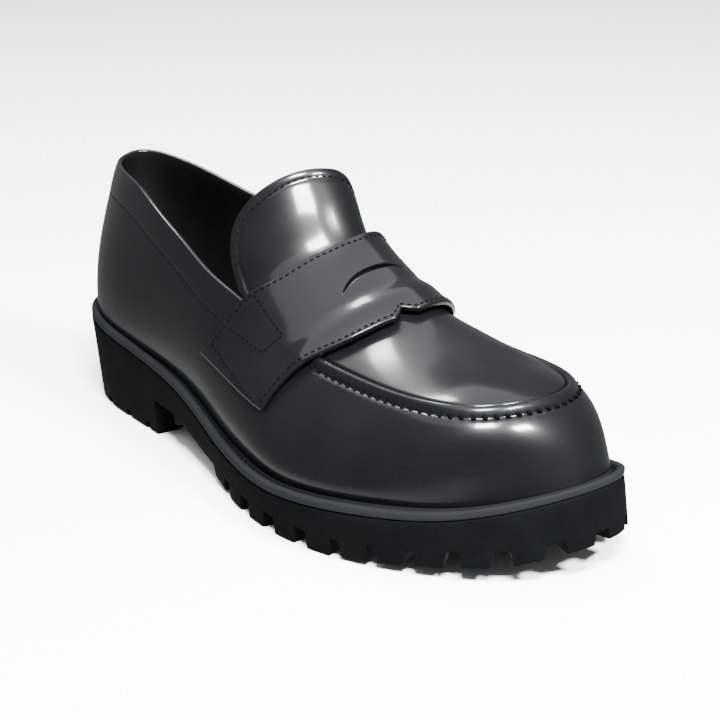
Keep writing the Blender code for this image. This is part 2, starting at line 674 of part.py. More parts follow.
def strap_row(share):
    """v of the points along a line of the strap, from one wing's end to the other's."""
    low = STRAP_LOW[0] + (STRAP_LOW[1] - STRAP_LOW[0]) * share
    wing = low + (1 - low) * np.arange(WING_ROWS) / WING_ROWS
    return np.concatenate([wing, SADDLE_V, 4 - wing[::-1]])


def strap_rise(place):
    """Height of the strap's underside over the upper, which grows where it crosses the rolled seam."""
    return CLEARANCE + STRAP_LIFT * ease((AROUND_CURVE(place)[..., 3] / LENGTH - 0.585) / 0.035)


def build_strap():
    """Saddle strap over the instep, with its coin slot and the notch in its front edge."""
    solid = Solid()
    shares = (*STRAP_SHARES[:2], SLOT_SHARE, SLOT_SHARE, *STRAP_SHARES[2:])
    v = np.array([strap_row(share) for share in shares])
    station = np.array([strap_line(STRAP_SHARES[0], v[0]), strap_line(STRAP_SHARES[1], v[1]),
                        slot_line(-1, v[2]), slot_line(1, v[3]),
                        strap_line(STRAP_SHARES[2], v[4]), strap_line(STRAP_SHARES[3], v[5])])
    place, t = on_last(v, station)
    rise = strap_rise(place)
    outer, inner = [solid.points(skin(place, t, rise + height)) for height in (STRAP_THICKNESS, 0.0)]
    kept = np.ones(np.subtract(outer.shape, 1), bool)
    slot_start = WING_ROWS + SADDLE_V.index(1.62)
    slot_end = WING_ROWS + SADDLE_V.index(2.24)
    kept[2, slot_start:slot_end] = False
    solid.shell(outer, inner, kept)
    return solid.finish("strap", material("strap", (0.012, 0.012, 0.013), 0.16))


# Tongue

# The tongue's outline across the foot, as ridge stations in percent of the length.
# Columns: v, end
TONGUE_OUTLINE = (
    (1.00, 54.4),
    (1.13, 51.1),
    (1.27, 48.9),
    (1.45, 47.8),
    (1.70, 47.6),
    (2.00, 48.5),
    (2.25, 50.0),
    (2.50, 51.6),
    (2.75, 54.0),
    (3.00, 57.6),
)
TONGUE_CURVE = Curve(np.array(TONGUE_OUTLINE)[:, 0], np.array(TONGUE_OUTLINE)[:, 1:] * LENGTH / 100)
TONGUE_UNDER = 0.605 * LENGTH
TONGUE_RISE = 1.5
RISE_START = 0.555 * LENGTH
RISE_LENGTH = 0.045 * LENGTH
TONGUE_ROWS = 9
TONGUE_COLUMNS = 21


def tongue_depth(v, station):
    """Depth of the tongue under the last, which lessens where it comes out from under the strap."""
    free = ease((RISE_START - station) / RISE_LENGTH) * ease((np.minimum(v, 4 - v) - 1.08) / 0.25)
    return WALL + 2 * CLEARANCE - TONGUE_RISE * free


def build_tongue():
    """Curved flap that rises out of the throat from under the strap."""
    solid = Solid()
    v = np.linspace(1, 3, TONGUE_COLUMNS)[None]
    share = np.linspace(0, 1, TONGUE_ROWS)[:, None]
    under = TONGUE_UNDER + sweep(np.minimum(v, 4 - v))
    station = under + (TONGUE_CURVE(v)[..., 0] - under) * share
    place, t = on_last(v, station)
    depth = tongue_depth(v, station)
    shells = [solid.points(skin(place, t, -depth - thickness)) for thickness in (0.0, TONGUE_THICKNESS)]
    solid.shell(*shells, np.ones(np.subtract(shells[0].shape, 1), bool))
    return solid.finish("tongue", material("tongue", (0.012, 0.012, 0.013), 0.17))


def main():
    """Model the shoe, each sub-part as its own object."""
    for old in list(bpy.data.objects):
        bpy.data.objects.remove(old)
    build_outsole()
    build_welt()
    build_insole()
    build_upper()
    build_strap()
    build_tongue()


main()
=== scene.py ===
"""The looks of a chunky lug sole penny loafer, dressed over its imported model.

Places on the shoe are x, across to the medial side, s, forward from the back of the heel,
and z, up from the floor, in millimetres. The tables give them as percentages of the
driving sizes below, and world() turns them into metres about the middle of the shoe.
"""

import math

import bmesh
import bpy
import numpy as np
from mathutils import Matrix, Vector

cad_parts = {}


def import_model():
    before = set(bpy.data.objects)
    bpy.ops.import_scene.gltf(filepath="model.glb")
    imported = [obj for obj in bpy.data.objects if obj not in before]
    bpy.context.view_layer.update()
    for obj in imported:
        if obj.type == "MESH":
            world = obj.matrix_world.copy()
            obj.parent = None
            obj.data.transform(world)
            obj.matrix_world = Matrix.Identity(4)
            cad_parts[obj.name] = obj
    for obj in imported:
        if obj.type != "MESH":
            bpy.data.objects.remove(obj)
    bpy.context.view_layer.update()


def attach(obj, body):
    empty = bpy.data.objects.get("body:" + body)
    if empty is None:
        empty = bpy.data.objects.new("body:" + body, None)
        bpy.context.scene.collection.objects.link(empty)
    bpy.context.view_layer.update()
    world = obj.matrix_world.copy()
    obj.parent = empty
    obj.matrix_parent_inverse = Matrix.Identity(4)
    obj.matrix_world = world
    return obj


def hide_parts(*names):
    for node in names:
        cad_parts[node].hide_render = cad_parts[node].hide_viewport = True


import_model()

# Driving sizes of the shoe
LENGTH = 300.0
BALL_WIDTH = 115.0
INSTEP_HEIGHT = 98.0
COLLAR_HEIGHT = 106.0
HEEL_SEAT_HEIGHT = 44.0

# Sizes of the pieces
WALL = 2.4
STRAP_THICKNESS = 1.9
TONGUE_THICKNESS = 2.2
INSOLE_THICKNESS = 3.0
WELT_THICKNESS = 3.4
WELT_SEAT = 11.0
CLEARANCE = 0.3
SEAM_WIDTH = 5.6
SEAM_HEIGHT = 1.7
COLLAR_BAND = 12.5
COLLAR_SWELL = 0.3
MIDDLE_X = -6.1
MIDDLE_S = 153.0
METRE = 0.001

# The edge of the sole and the seam or topline above it, from the heel's back round the lateral side:
# edge x, edge s, seam x, seam s, seam z, lean at the feather, lean at the seam and the ridge's s.
# x is in percent of the ball width, s of the length, z of the collar height, and leans are in degrees.
AROUND = (
    (2.6, 1.3, 5.0, 3.4, 100.9, 7, 12, 30.0),
    (-9.0, 2.3, -2.2, 4.8, 99.8, 3, 16, 32.0),
    (-18.4, 5.1, -8.3, 8.0, 99.3, 2, 18, 34.0),
    (-25.7, 10.0, -13.9, 12.8, 98.9, 3, 18, 36.0),
    (-30.4, 17.7, -19.1, 19.3, 96.8, 5, 16, 39.0),
    (-33.2, 27.3, -24.0, 26.7, 90.6, 6, 13, 42.0),
    (-36.5, 36.0, -27.0, 34.0, 83.0, 6, 13, 45.0),
    (-41.0, 43.3, -29.2, 41.3, 75.0, 6, 17, 49.5),
    (-45.4, 49.0, -29.4, 47.5, 69.6, 7, 25, 55.0),
    (-51.3, 56.7, -30.8, 55.0, 61.6, 9, 34, 60.3),
    (-54.8, 63.3, -32.0, 62.3, 55.7, 10, 41, 65.3),
    (-55.4, 70.0, -32.8, 69.7, 53.8, 10, 44, 71.3),
    (-52.4, 77.3, -33.0, 76.7, 53.3, 8, 45, 77.3),
    (-44.3, 85.3, -31.3, 83.7, 53.8, 4, 46, 82.0),
    (-33.0, 91.8, -25.2, 89.0, 54.2, -4, 47, 84.0),
    (-17.4, 97.4, -12.2, 92.3, 54.7, -14, 48, 84.5),
    (2.6, 100.0, 2.6, 93.2, 54.7, -22, 49, 84.5),
    (22.0, 97.4, 15.2, 91.9, 54.7, -14, 48, 84.5),
    (32.2, 91.2, 23.6, 88.6, 54.2, 0, 46, 84.0),
    (38.2, 84.0, 28.4, 83.5, 53.8, 5, 44, 82.0),
    (41.7, 76.7, 31.4, 76.7, 53.3, 8, 43, 77.3),
    (44.6, 69.3, 33.0, 69.7, 53.8, 9, 42, 71.3),
    (43.6, 62.7, 32.4, 62.3, 55.7, 9, 39, 65.3),
    (39.4, 56.0, 31.0, 55.0, 62.3, 8, 33, 60.3),
    (34.5, 49.0, 29.4, 47.5, 71.0, 7, 25, 55.0),
    (30.8, 43.0, 28.2, 41.3, 77.0, 6, 17, 49.5),
    (29.1, 36.0, 27.0, 34.0, 84.0, 7, 13, 45.0),
    (30.2, 26.7, 25.2, 25.7, 89.2, 8, 13, 42.0),
    (31.3, 17.7, 22.8, 18.0, 94.2, 8, 13, 39.0),
    (29.6, 9.7, 20.5, 10.7, 98.2, 8, 12, 36.0),
    (23.6, 5.1, 16.7, 5.8, 100.6, 8, 12, 34.0),
    (14.2, 2.3, 11.3, 3.5, 101.3, 8, 12, 32.0),
)

# The line over the top of the foot, from the tongue's end to the toe:
# s in percent of the length, x of the ball width, z of the instep height
RIDGE = (
    (40.0, 11.0, 151.0),
    (47.3, 9.8, 129.0),
    (55.0, 7.4, 99.0),
    (61.7, 5.0, 85.5),
    (68.3, 4.0, 76.0),
    (75.0, 3.8, 71.2),
    (83.0, 3.5, 67.3),
    (91.0, 3.6, 64.4),
)

# The sole from the side: s in percent of the length, then in percent of the heel seat height the
# seat, the floor of the tread and the floor between its lugs, and in millimetres the inset of the
# floor's edge from the seat's edge and the reach of the sole beyond the upper
PROFILE = (
    (0.0, 99.8, 0.0, 7.0, 3.6, 3.0),
    (10.0, 93.0, 0.0, 7.0, 3.8, 3.0),
    (20.0, 86.6, 0.0, 7.0, 3.8, 3.2),
    (27.7, 80.0, 0.0, 7.0, 3.2, 3.6),
    (36.7, 69.8, 31.0, 31.0, 2.5, 4.0),
    (42.3, 61.0, 21.6, 21.6, 2.2, 4.2),
    (48.5, 52.0, 5.6, 15.5, 2.0, 4.5),
    (55.0, 47.0, 0.0, 15.0, 1.1, 5.0),
    (63.3, 44.8, 0.0, 15.0, 0.9, 5.2),
    (75.0, 50.0, 0.0, 15.5, 1.2, 5.2),
    (81.7, 54.0, 5.0, 17.8, 1.0, 5.2),
    (90.0, 60.5, 11.6, 25.0, -0.5, 5.0),
    (95.0, 69.5, 16.2, 28.8, -2.5, 5.0),
    (100.0, 81.4, 27.8, 37.5, -4.0, 5.0),
)


class Curve:
    """A smooth cubic through the rows of a table, closed where it has a period."""

    def __init__(self, knots, rows, period=None):
        knots = np.asarray(knots, float)
        rows = np.asarray(rows, float)
        if period:
            knots = np.append(knots, knots[0] + period)
            rows = np.vstack([rows, rows[:1]])
        step = np.diff(knots)
        slope = np.diff(rows, axis=0) / step[:, None]
        system = np.eye(len(knots))
        right = np.zeros_like(rows)
        for k in range(1, len(knots) - 1):
            system[k, k - 1:k + 2] = step[k - 1], 2 * (step[k - 1] + step[k]), step[k]
            right[k] = 6 * (slope[k] - slope[k - 1])
        if period:
            system[0, [0, 1, -2]] = 2 * (step[0] + step[-1]), step[0], step[-1]
            right[0] = 6 * (slope[0] - slope[-1])
            system[-1, 0] = -1
        self.knots, self.rows, self.period = knots, rows, period
        self.bend = np.linalg.solve(system, right)

    def __call__(self, at):
        at = np.asarray(at, float)
        if self.period:
            at = self.knots[0] + np.mod(at - self.knots[0], self.period)
        k = np.clip(np.searchsorted(self.knots, at, side="right") - 1, 0, len(self.knots) - 2)
        width = (self.knots[k + 1] - self.knots[k])[..., None]
        after = (at - self.knots[k])[..., None] / width
        before = 1 - after
        curved = (before ** 3 - before) * self.bend[k] + (after ** 3 - after) * self.bend[k + 1]
        return before * self.rows[k] + after * self.rows[k + 1] + curved * width ** 2 / 6


def unit(vectors):
    """Scale vectors to a length of one."""
    return vectors / np.linalg.norm(vectors, axis=-1, keepdims=True)


def ease(value):
    """Rise smoothly from 0 to 1 as the value does."""
    value = np.clip(value, 0, 1)
    return value * value * (3 - 2 * value)


def hump(value, width):
    """A soft hump of height 1 about zero."""
    return np.exp(-(np.asarray(value) / width) ** 2)


# The tables in millimetres, as smooth curves
AROUND_SCALE = np.array((BALL_WIDTH, LENGTH, BALL_WIDTH, LENGTH, COLLAR_HEIGHT, 100, 100, LENGTH)) / 100
AROUND_ROWS = np.array(AROUND) * AROUND_SCALE
EDGE_STEPS = np.linalg.norm(np.roll(AROUND_ROWS, -1, axis=0)[:, :2] - AROUND_ROWS[:, :2], axis=1)
EDGE_LENGTH = EDGE_STEPS.sum()
EDGE_KNOTS = np.append(0, np.cumsum(EDGE_STEPS)[:-1])
AROUND_CURVE = Curve(EDGE_KNOTS, AROUND_ROWS, EDGE_LENGTH)
TOE_PLACE = EDGE_KNOTS[int(np.argmax(AROUND_ROWS[:, 1]))]

RIDGE_ROWS = np.array(RIDGE) * np.array((LENGTH, BALL_WIDTH, INSTEP_HEIGHT)) / 100
RIDGE_CURVE = Curve(RIDGE_ROWS[:, 0], RIDGE_ROWS[:, 1:])
PROFILE_SCALE = np.array((LENGTH, HEEL_SEAT_HEIGHT, HEEL_SEAT_HEIGHT, HEEL_SEAT_HEIGHT, 100, 100)) / 100
PROFILE_ROWS = np.array(PROFILE) * PROFILE_SCALE
SEAT_CURVE = Curve(PROFILE_ROWS[:, 0], PROFILE_ROWS[:, [1, 4, 5]])
RIDGE_END = 0.82 * LENGTH

# The foot's crest rises a little to the medial side, whose shoulder is the fuller one
CREST_TILT = 0.12
VAMP_FULLNESS = 0.36
MEDIAL_FULLNESS = 0.16
WALL_FULLNESS = 0.38
LEVEL_ANGLE = 14

# Soft lines across the shoe, as start and span in shares of the length: where the columns fan
# round the toe, where the vamp leaves its seam more level, where the apron's rolled seam and the
# strap's crossing of it begin, and where the collar band ends
FAN_LINE = (0.81, 0.07)
LEVEL_LINE = (0.55, 0.1)
APRON_LINE = (0.61, 0.025)
CROSSING_LINE = (0.585, 0.035)
BAND_LINE = (0.40, 0.07)

# Steps over which the last's normal is taken, and the t near the ridge where it is set instead
STEP_ALONG = 0.7
STEP_UP = 0.02
BELOW_RIDGE = 1.97
AT_RIDGE = 1.995
RIDGE_SEARCH_FROM = 0.3
RIDGE_SEARCH_STEPS = 1600
EDGE_SEARCH_STEPS = 800


def ahead_of(s, line):
    """0 behind a soft line across the shoe and 1 ahead of it."""
    start, span = line
    return ease((s / LENGTH - start) / span)


def seat(s):
    """Height of the sole's top at s."""
    return SEAT_CURVE(s)[..., 0]


def edge(place, inset=0.0):
    """Point x, s of the sole's outline, moved inward by the inset. Places run along the edge."""
    place = np.asarray(place, float)
    ahead = unit(AROUND_CURVE(place + 0.5)[..., :2] - AROUND_CURVE(place - 0.5)[..., :2])
    inward = np.stack([ahead[..., 1], -ahead[..., 0]], axis=-1)
    return AROUND_CURVE(place)[..., :2] + inward * np.asarray(inset)[..., None]


def ridge(s):
    """Point of the line over the top of the foot."""
    return np.concatenate([RIDGE_CURVE(s)[..., :1], s[..., None], RIDGE_CURVE(s)[..., 1:]], axis=-1)


def bezier(start, near, far, end, t):
    """Cubic Bezier through arrays of control points."""
    t = t[..., None]
    return ((1 - t) ** 3 * start + 3 * t * (1 - t) ** 2 * near
            + 3 * t ** 2 * (1 - t) * far + t ** 3 * end)


def smooth_skin(place, t):
    """Point of the last: t is 0 at the feather, 1 at the seam or topline and 2 on the ridge."""
    place, t = np.broadcast_arrays(np.asarray(place, float), np.asarray(t, float))
    row = AROUND_CURVE(place)
    rim = edge(place)
    foot = edge(place, SEAT_CURVE(rim[..., 1])[..., 2])
    feather = np.concatenate([foot, (seat(foot[..., 1]) + CLEARANCE)[..., None]], axis=-1)
    seam = row[..., 2:5]
    out = unit(rim - edge(place, 1.0))
    along = unit(AROUND_CURVE(place + 1.0)[..., 2:4] - AROUND_CURVE(place - 1.0)[..., 2:4])
    inward = np.stack([along[..., 1], -along[..., 0]], axis=-1)
    low = np.radians(row[..., 5:6])
    rise = np.radians(90 - row[..., 6:7])
    start = np.concatenate([out * np.sin(low), np.cos(low)], axis=-1)
    arrive = np.concatenate([inward * np.cos(rise), np.sin(rise)], axis=-1)
    reach = WALL_FULLNESS * np.linalg.norm(seam - feather, axis=-1, keepdims=True)
    wall = bezier(feather, feather + start * reach, seam - arrive * reach, seam, np.clip(t, 0, 1))

    top_s = np.minimum(row[..., 7], RIDGE_END)
    top = ridge(top_s)
    slope = (ridge(top_s + 1.0) - ridge(top_s - 1.0))[..., 2:3] / 2
    towards = (top - seam)[..., :2]
    fanned = ahead_of(seam[..., 1], FAN_LINE)
    across = unit(towards * np.stack([np.ones_like(fanned), fanned], axis=-1))
    climb = across[..., 1:2] * slope + across[..., :1] * CREST_TILT * (1 - fanned[..., None])
    land = unit(np.concatenate([across, climb], axis=-1))
    lower = np.radians(LEVEL_ANGLE) * ahead_of(seam[..., 1:2], LEVEL_LINE)
    leave = np.concatenate([inward * np.cos(rise - lower), np.sin(rise - lower)], axis=-1)
    span = np.linalg.norm(top - seam, axis=-1, keepdims=True)
    medial = (np.mod(place, EDGE_LENGTH) > TOE_PLACE) * (1 - fanned)
    shoulder = span * (VAMP_FULLNESS + MEDIAL_FULLNESS * medial[..., None])
    vamp = bezier(seam, seam + leave * VAMP_FULLNESS * span, top - land * shoulder, top, np.clip(t - 1, 0, 1))
    return np.where(t[..., None] <= 1, wall, vamp)


def skin_normal(place, t):
    """Outward normal of the last. On the ridge it is level across the foot."""
    place, t = np.broadcast_arrays(np.asarray(place, float), np.asarray(t, float))
    inner_t = np.minimum(t, BELOW_RIDGE)
    forward = smooth_skin(place + STEP_ALONG, inner_t) - smooth_skin(place - STEP_ALONG, inner_t)
    upward = smooth_skin(place, inner_t + STEP_UP) - smooth_skin(place, np.maximum(inner_t - STEP_UP, 0))
    found = unit(np.cross(upward, forward))
    top_s = np.minimum(AROUND_CURVE(place)[..., 7], RIDGE_END)
    slope = (ridge(top_s + 1.0) - ridge(top_s - 1.0))[..., 2] / 2
    tilt = np.where(AROUND_CURVE(place)[..., 7] < RIDGE_END, CREST_TILT, 0)
    level = unit(np.stack([-tilt, -slope, np.ones_like(slope)], axis=-1))
    return np.where(t[..., None] >= AT_RIDGE, level, found)


def skin(place, t, lift=0.0):
    """Point of the last raised by a lift, or sunk below it where the lift is negative."""
    return smooth_skin(place, t) + skin_normal(place, t) * np.asarray(lift)[..., None]


def apron_span(place):
    """Distance from the seam to the ridge."""
    row = AROUND_CURVE(place)
    return np.linalg.norm(ridge(np.minimum(row[..., 7], RIDGE_END)) - row[..., 2:5], axis=-1)


def place_of_ridge(side, ridge_s):
    """Place on the edge, on the lateral (1) or medial (-1) side, of the column ending at ridge_s."""
    from_heel = RIDGE_SEARCH_FROM * TOE_PLACE
    places = np.linspace(from_heel if side > 0 else EDGE_LENGTH - from_heel, TOE_PLACE, RIDGE_SEARCH_STEPS)
    values = AROUND_CURVE(places)[:, 7]
    reached = np.maximum.accumulate(values)
    keep = np.append(True, np.diff(reached) > 0)
    return np.interp(ridge_s, reached[keep], places[keep])


def place_of_s(side, s):
    """Place on the edge of the sole where the lateral (1) or medial (-1) side passes s."""
    end = TOE_PLACE if side > 0 else TOE_PLACE - EDGE_LENGTH
    places = np.linspace(0, end, EDGE_SEARCH_STEPS)
    return np.interp(s, AROUND_CURVE(places)[:, 1], places)


def on_last(v, station):
    """Place and t of points that lie at v across the foot, on the columns of the given ridge stations.

    v is 0 at the lateral feather, 1 at its seam, 2 on the ridge, 3 at the medial seam and 4 at its feather.
    """
    v, station = np.broadcast_arrays(v, station)
    place = np.where(v <= 2, place_of_ridge(1, station), place_of_ridge(-1, station))
    return place, np.minimum(v, 4 - v)


def world(points):
    """Turn x, s, z in millimetres into Blender's metres, the toe towards -Y."""
    points = np.asarray(points, float)
    return np.stack([points[..., 0] - MIDDLE_X, MIDDLE_S - points[..., 1], points[..., 2]], axis=-1) * METRE


# Finishes

class Socket:
    """One output of a material's node. Python's operators on it add Math nodes."""

    def __init__(self, finish, socket):
        self.finish = finish
        self.socket = socket

    def math(self, operation, *values):
        """Add one Math node."""
        return self.finish.node("ShaderNodeMath", {"operation": operation}, dict(enumerate(values)))

    def __add__(self, other):
        return self.math("ADD", self, other)

    __radd__ = __add__

    def __rsub__(self, other):
        return self.math("SUBTRACT", other, self)

    def __mul__(self, other):
        return self.math("MULTIPLY", self, other)

    __rmul__ = __mul__


class Finish:
    """A material whose nodes are added by name, around its Principled shader."""

    def __init__(self, name, **fixed):
        self.material = bpy.data.materials.new(name)
        self.material.use_nodes = True
        self.tree = self.material.node_tree
        self.shader = self.tree.nodes["Principled BSDF"]
        for socket, value in fixed.items():
            self.shader.inputs[socket.replace("_", " ")].default_value = value
        self.place = self.node("ShaderNodeTexCoord", out="Object")

    def node(self, kind, settings=(), sockets=(), out=0):
        """Add a node: its settings come first, then the values or links of its sockets."""
        made = self.tree.nodes.new(kind)
        for setting, value in dict(settings).items():
            setattr(made, setting, value)
        for name, value in dict(sockets).items():
            if isinstance(value, Socket):
                self.tree.links.new(value.socket, made.inputs[name])
            else:
                made.inputs[name].default_value = value
        return Socket(self, made.outputs[out])

    def noise(self, scale, detail, roughness=0.5):
        """Noise whose cells are about 1000 / scale millimetres."""
        sockets = {"Vector": self.place, "Scale": scale, "Detail": detail, "Roughness": roughness}
        return self.node("ShaderNodeTexNoise", {}, sockets)

    def pores(self, scale):
        """Cells of leather grain."""
        return self.node("ShaderNodeTexVoronoi", {}, {"Vector": self.place, "Scale": scale})

    def blend(self, amount, first, second):
        """Mix two colours."""
        sockets = {"Factor": amount, 6: (*first, 1), 7: (*second, 1)}
        return self.node("ShaderNodeMix", {"data_type": "RGBA"}, sockets, out=2)

    def feed(self, socket, value):
        """Link a varying value to the shader."""
        self.tree.links.new(value.socket, self.shader.inputs[socket])

    def bump(self, height, depth_mm, strength, under=None):
        """Relief of the given depth, over the relief under it."""
        sockets = {"Height": height, "Distance": depth_mm * METRE, "Strength": strength}
        if under:
            sockets["Normal"] = under
        return self.node("ShaderNodeBump", {}, sockets)


def polished_leather():
    """Brushed-off black leather: a deep black under a wax polish, with pores and a faint ripple."""
    fixed = {"IOR": 1.15, "Specular_IOR_Level": 0.5, "Coat_Roughness": 0.13, "Coat_IOR": 1.5}
    finish = Finish("polished_leather", **fixed)
    cloud = finish.noise(scale=45, detail=3)
    fine = finish.noise(scale=700, detail=3, roughness=0.6)
    dark, light = (0.0009, 0.0009, 0.0012), (0.0022, 0.0021, 0.0025)
    finish.feed("Base Color", finish.blend(cloud, dark, light))
    finish.feed("Roughness", 0.28 + 0.09 * cloud + 0.08 * fine)
    finish.feed("Coat Weight", 0.28 + 0.16 * (1 - cloud))
    ripple = finish.bump(finish.noise(scale=110, detail=2), depth_mm=0.35, strength=0.10)
    grain = finish.bump(finish.pores(scale=1500), depth_mm=0.05, strength=0.22, under=ripple)
    finish.feed("Normal", finish.bump(fine, depth_mm=0.03, strength=0.25, under=grain))
    return finish.material


def lining_leather():
    """Soft unpolished black lining."""
    finish = Finish("lining", Coat_Weight=0.0, Specular_IOR_Level=0.05)
    cloud = finish.noise(scale=60, detail=3)
    dark, light = (0.001, 0.001, 0.001), (0.0025, 0.0025, 0.0025)
    finish.feed("Base Color", finish.blend(cloud, dark, light))
    finish.feed("Roughness", 0.62 + 0.15 * cloud)
    finish.feed("Normal", finish.bump(finish.pores(scale=900), depth_mm=0.08, strength=0.4))
    return finish.material


def rubber(name, dark, light, roughness):
    """Moulded black rubber with a dry, fine surface."""
    finish = Finish(name, Coat_Weight=0.0, IOR=1.2, Specular_IOR_Level=0.05)
    cloud = finish.noise(scale=38, detail=4, roughness=0.6)
    fine = finish.noise(scale=1300, detail=2)
    finish.feed("Base Color", finish.blend(cloud, dark, light))
    finish.feed("Roughness", roughness + 0.1 * cloud)
    finish.feed("Normal", finish.bump(fine, depth_mm=0.04, strength=0.4))
    return finish.material


def waxed_thread():
    """Waxed black sewing thread with its twist."""
    finish = Finish("fine_thread", Coat_Weight=0.0, IOR=1.2, Specular_IOR_Level=0.05)
    twist = finish.noise(scale=1800, detail=2)
    dark, light = (0.001, 0.001, 0.0011), (0.0016, 0.0016, 0.00176)
    finish.feed("Base Color", finish.blend(twist, dark, light))
    finish.feed("Roughness", 0.7 + 0.15 * twist)
    finish.feed("Normal", finish.bump(twist, depth_mm=0.08, strength=0.5))
    return finish.material


# Meshes

class Piece:
    """Sheets of shoe points gathered into one mesh, each sheet with its own finish."""

    def __init__(self, name):
        self.name = name
        self.points, self.faces, self.finishes = [], [], []
        self.count = 0

    def add(self, grid):
        """Add points and return their numbers in the same layout."""
        flat = world(grid).reshape(-1, 3)
        numbers = np.arange(self.count, self.count + len(flat)).reshape(np.shape(grid)[:-1])
        self.points.append(flat)
        self.count += len(flat)
        return numbers

    def sheet(self, numbers, closed=False, finish=0, kept=None):
        """Join the rows of a grid of point numbers with faces."""
        if closed:
            numbers = np.concatenate([numbers, numbers[:, :1]], axis=1)
        corners = (numbers[:-1, :-1], numbers[:-1, 1:], numbers[1:, 1:], numbers[1:, :-1])
        quads = np.stack(corners, axis=-1)
        quads = quads.reshape(-1, 4) if kept is None else quads[kept]
        self.faces += quads.tolist()
        self.finishes += [finish] * len(quads)

    def shell(self, outer, inner, kept):
        """Join two matching grids into a closed sheet, leaving out the cells not kept."""
        self.sheet(outer, kept=kept)
        self.sheet(inner, kept=kept)
        cells = np.pad(kept, 1)
        for row, k in np.argwhere(kept):
            corners = ((row, k), (row, k + 1), (row + 1, k + 1), (row + 1, k))
            beside = (cells[row, k + 1], cells[row + 1, k + 2], cells[row + 2, k + 1], cells[row + 1, k])
            for number, neighbour in enumerate(beside):
                if not neighbour:
                    start, end = corners[number], corners[(number + 1) % 4]
                    self.faces.append([outer[start], outer[end], inner[end], inner[start]])
                    self.finishes.append(0)

    def finish(self, finishes, replaces=(), slot=None, sharp=40):
        """Close the piece into an object that rides on the shoe."""
        kept = [(list(dict.fromkeys(face)), finish) for face, finish in zip(self.faces, self.finishes)]
        kept = [(face, finish) for face, finish in kept if len(face) > 2]
        data = bpy.data.meshes.new(self.name)
        data.from_pydata(np.concatenate(self.points).tolist(), [], [face for face, _ in kept])
        for finish in finishes:
            data.materials.append(finish)
        data.polygons.foreach_set("material_index", [finish for _, finish in kept])
        tidy = bmesh.new()
        tidy.from_mesh(data)
        loose = [point for point in tidy.verts if not point.link_faces]
        bmesh.ops.delete(tidy, geom=loose, context="VERTS")
        bmesh.ops.recalc_face_normals(tidy, faces=tidy.faces[:])
        tidy.to_mesh(data)
        tidy.free()
        data.shade_smooth()
        data.set_sharp_from_angle(angle=math.radians(sharp))
        made = bpy.data.objects.new(self.name, data)
        bpy.context.scene.collection.objects.link(made)
        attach(made, "root")
        if replaces:
            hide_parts(*replaces)
        return made


def spaced(*stretches):
    """Values that run evenly over each stretch of (start, end, steps), without repeats."""
    parts = [np.linspace(start, end, steps + 1)[:-1] for start, end, steps in stretches]
    return np.append(np.concatenate(parts), stretches[-1][1])


def cap(piece, ring):
    """Fill a closed ring across, pairing the points of its two sides. The ring starts at the heel."""
    half = len(ring) // 2
    for k in range(half):
        piece.faces.append([ring[k], ring[k + 1], ring[-k - 1], ring[-k % len(ring)]])
        piece.finishes.append(0)


# Stitches

STITCH_SIDES = 6
STITCH_ALONG = np.array((-1.0, -0.82, -0.4, 0.4, 0.82, 1.0))
STITCH_GIRTH = np.array((0.35, 0.8, 1.0, 1.0, 0.8, 0.35))
STITCH_ARCH = np.array((-1.1, -0.45, 0.35, 0.35, -0.45, -1.1))
STITCH_LOOK = 0.4

# Pitch, length and radius of each kind of stitch
WELT_STITCH = (3.6, 2.9, 0.42)
COLLAR_STITCH = (2.8, 2.0, 0.2)
APRON_STITCH = (2.8, 2.1, 0.34)
GATHERED_STITCH = (4.2, 3.0, 0.62)
STRAP_STITCH = (2.8, 2.0, 0.33)
TONGUE_STITCH = (3.0, 2.1, 0.28)
GATHERED_TURN = 38


def stitch_points(points, normals, size, turn=0.0):
    """Rings of points of each stitch along a line on the leather, turned about its normal in degrees."""
    pitch, length, radius = size
    arc = np.append(0, np.cumsum(np.linalg.norm(np.diff(points, axis=0), axis=1)))
    count = max(int(round(arc[-1] / pitch)), 1)
    at = (np.arange(count) + 0.5) * arc[-1] / count

    def along(line, at):
        return np.stack([np.interp(at, arc, line[:, k]) for k in range(3)], axis=-1)

    place, up = along(points, at), unit(along(normals, at))
    ahead = along(points, at + STITCH_LOOK) - along(points, at - STITCH_LOOK)
    ahead = unit(ahead - up * np.sum(ahead * up, axis=-1, keepdims=True))
    beside = np.cross(up, ahead)
    cosine, sine = math.cos(math.radians(turn)), math.sin(math.radians(turn))
    ahead, beside = ahead * cosine + beside * sine, beside * cosine - ahead * sine
    round_angle = 2 * math.pi * np.arange(STITCH_SIDES) / STITCH_SIDES
    centre = (place[:, None] + ahead[:, None] * (STITCH_ALONG * length / 2)[None, :, None]
              + up[:, None] * (STITCH_ARCH * radius)[None, :, None])
    spoke = (up[:, None] * np.cos(round_angle)[None, :, None]
             + beside[:, None] * np.sin(round_angle)[None, :, None])
    return centre[:, :, None] + spoke[:, None] * (STITCH_GIRTH * radius)[None, :, None, None]


def sew(name, runs, finish, slot):
    """One mesh of all the stitches of the given runs."""
    piece = Piece(name)
    for run in runs:
        numbers = piece.add(run)
        for stitch in numbers:
            piece.sheet(stitch, closed=True)
            piece.faces += [stitch[0].tolist(), stitch[-1].tolist()]
            piece.finishes += [0, 0]
    return piece.finish([finish], slot=slot, sharp=60)


# Outsole

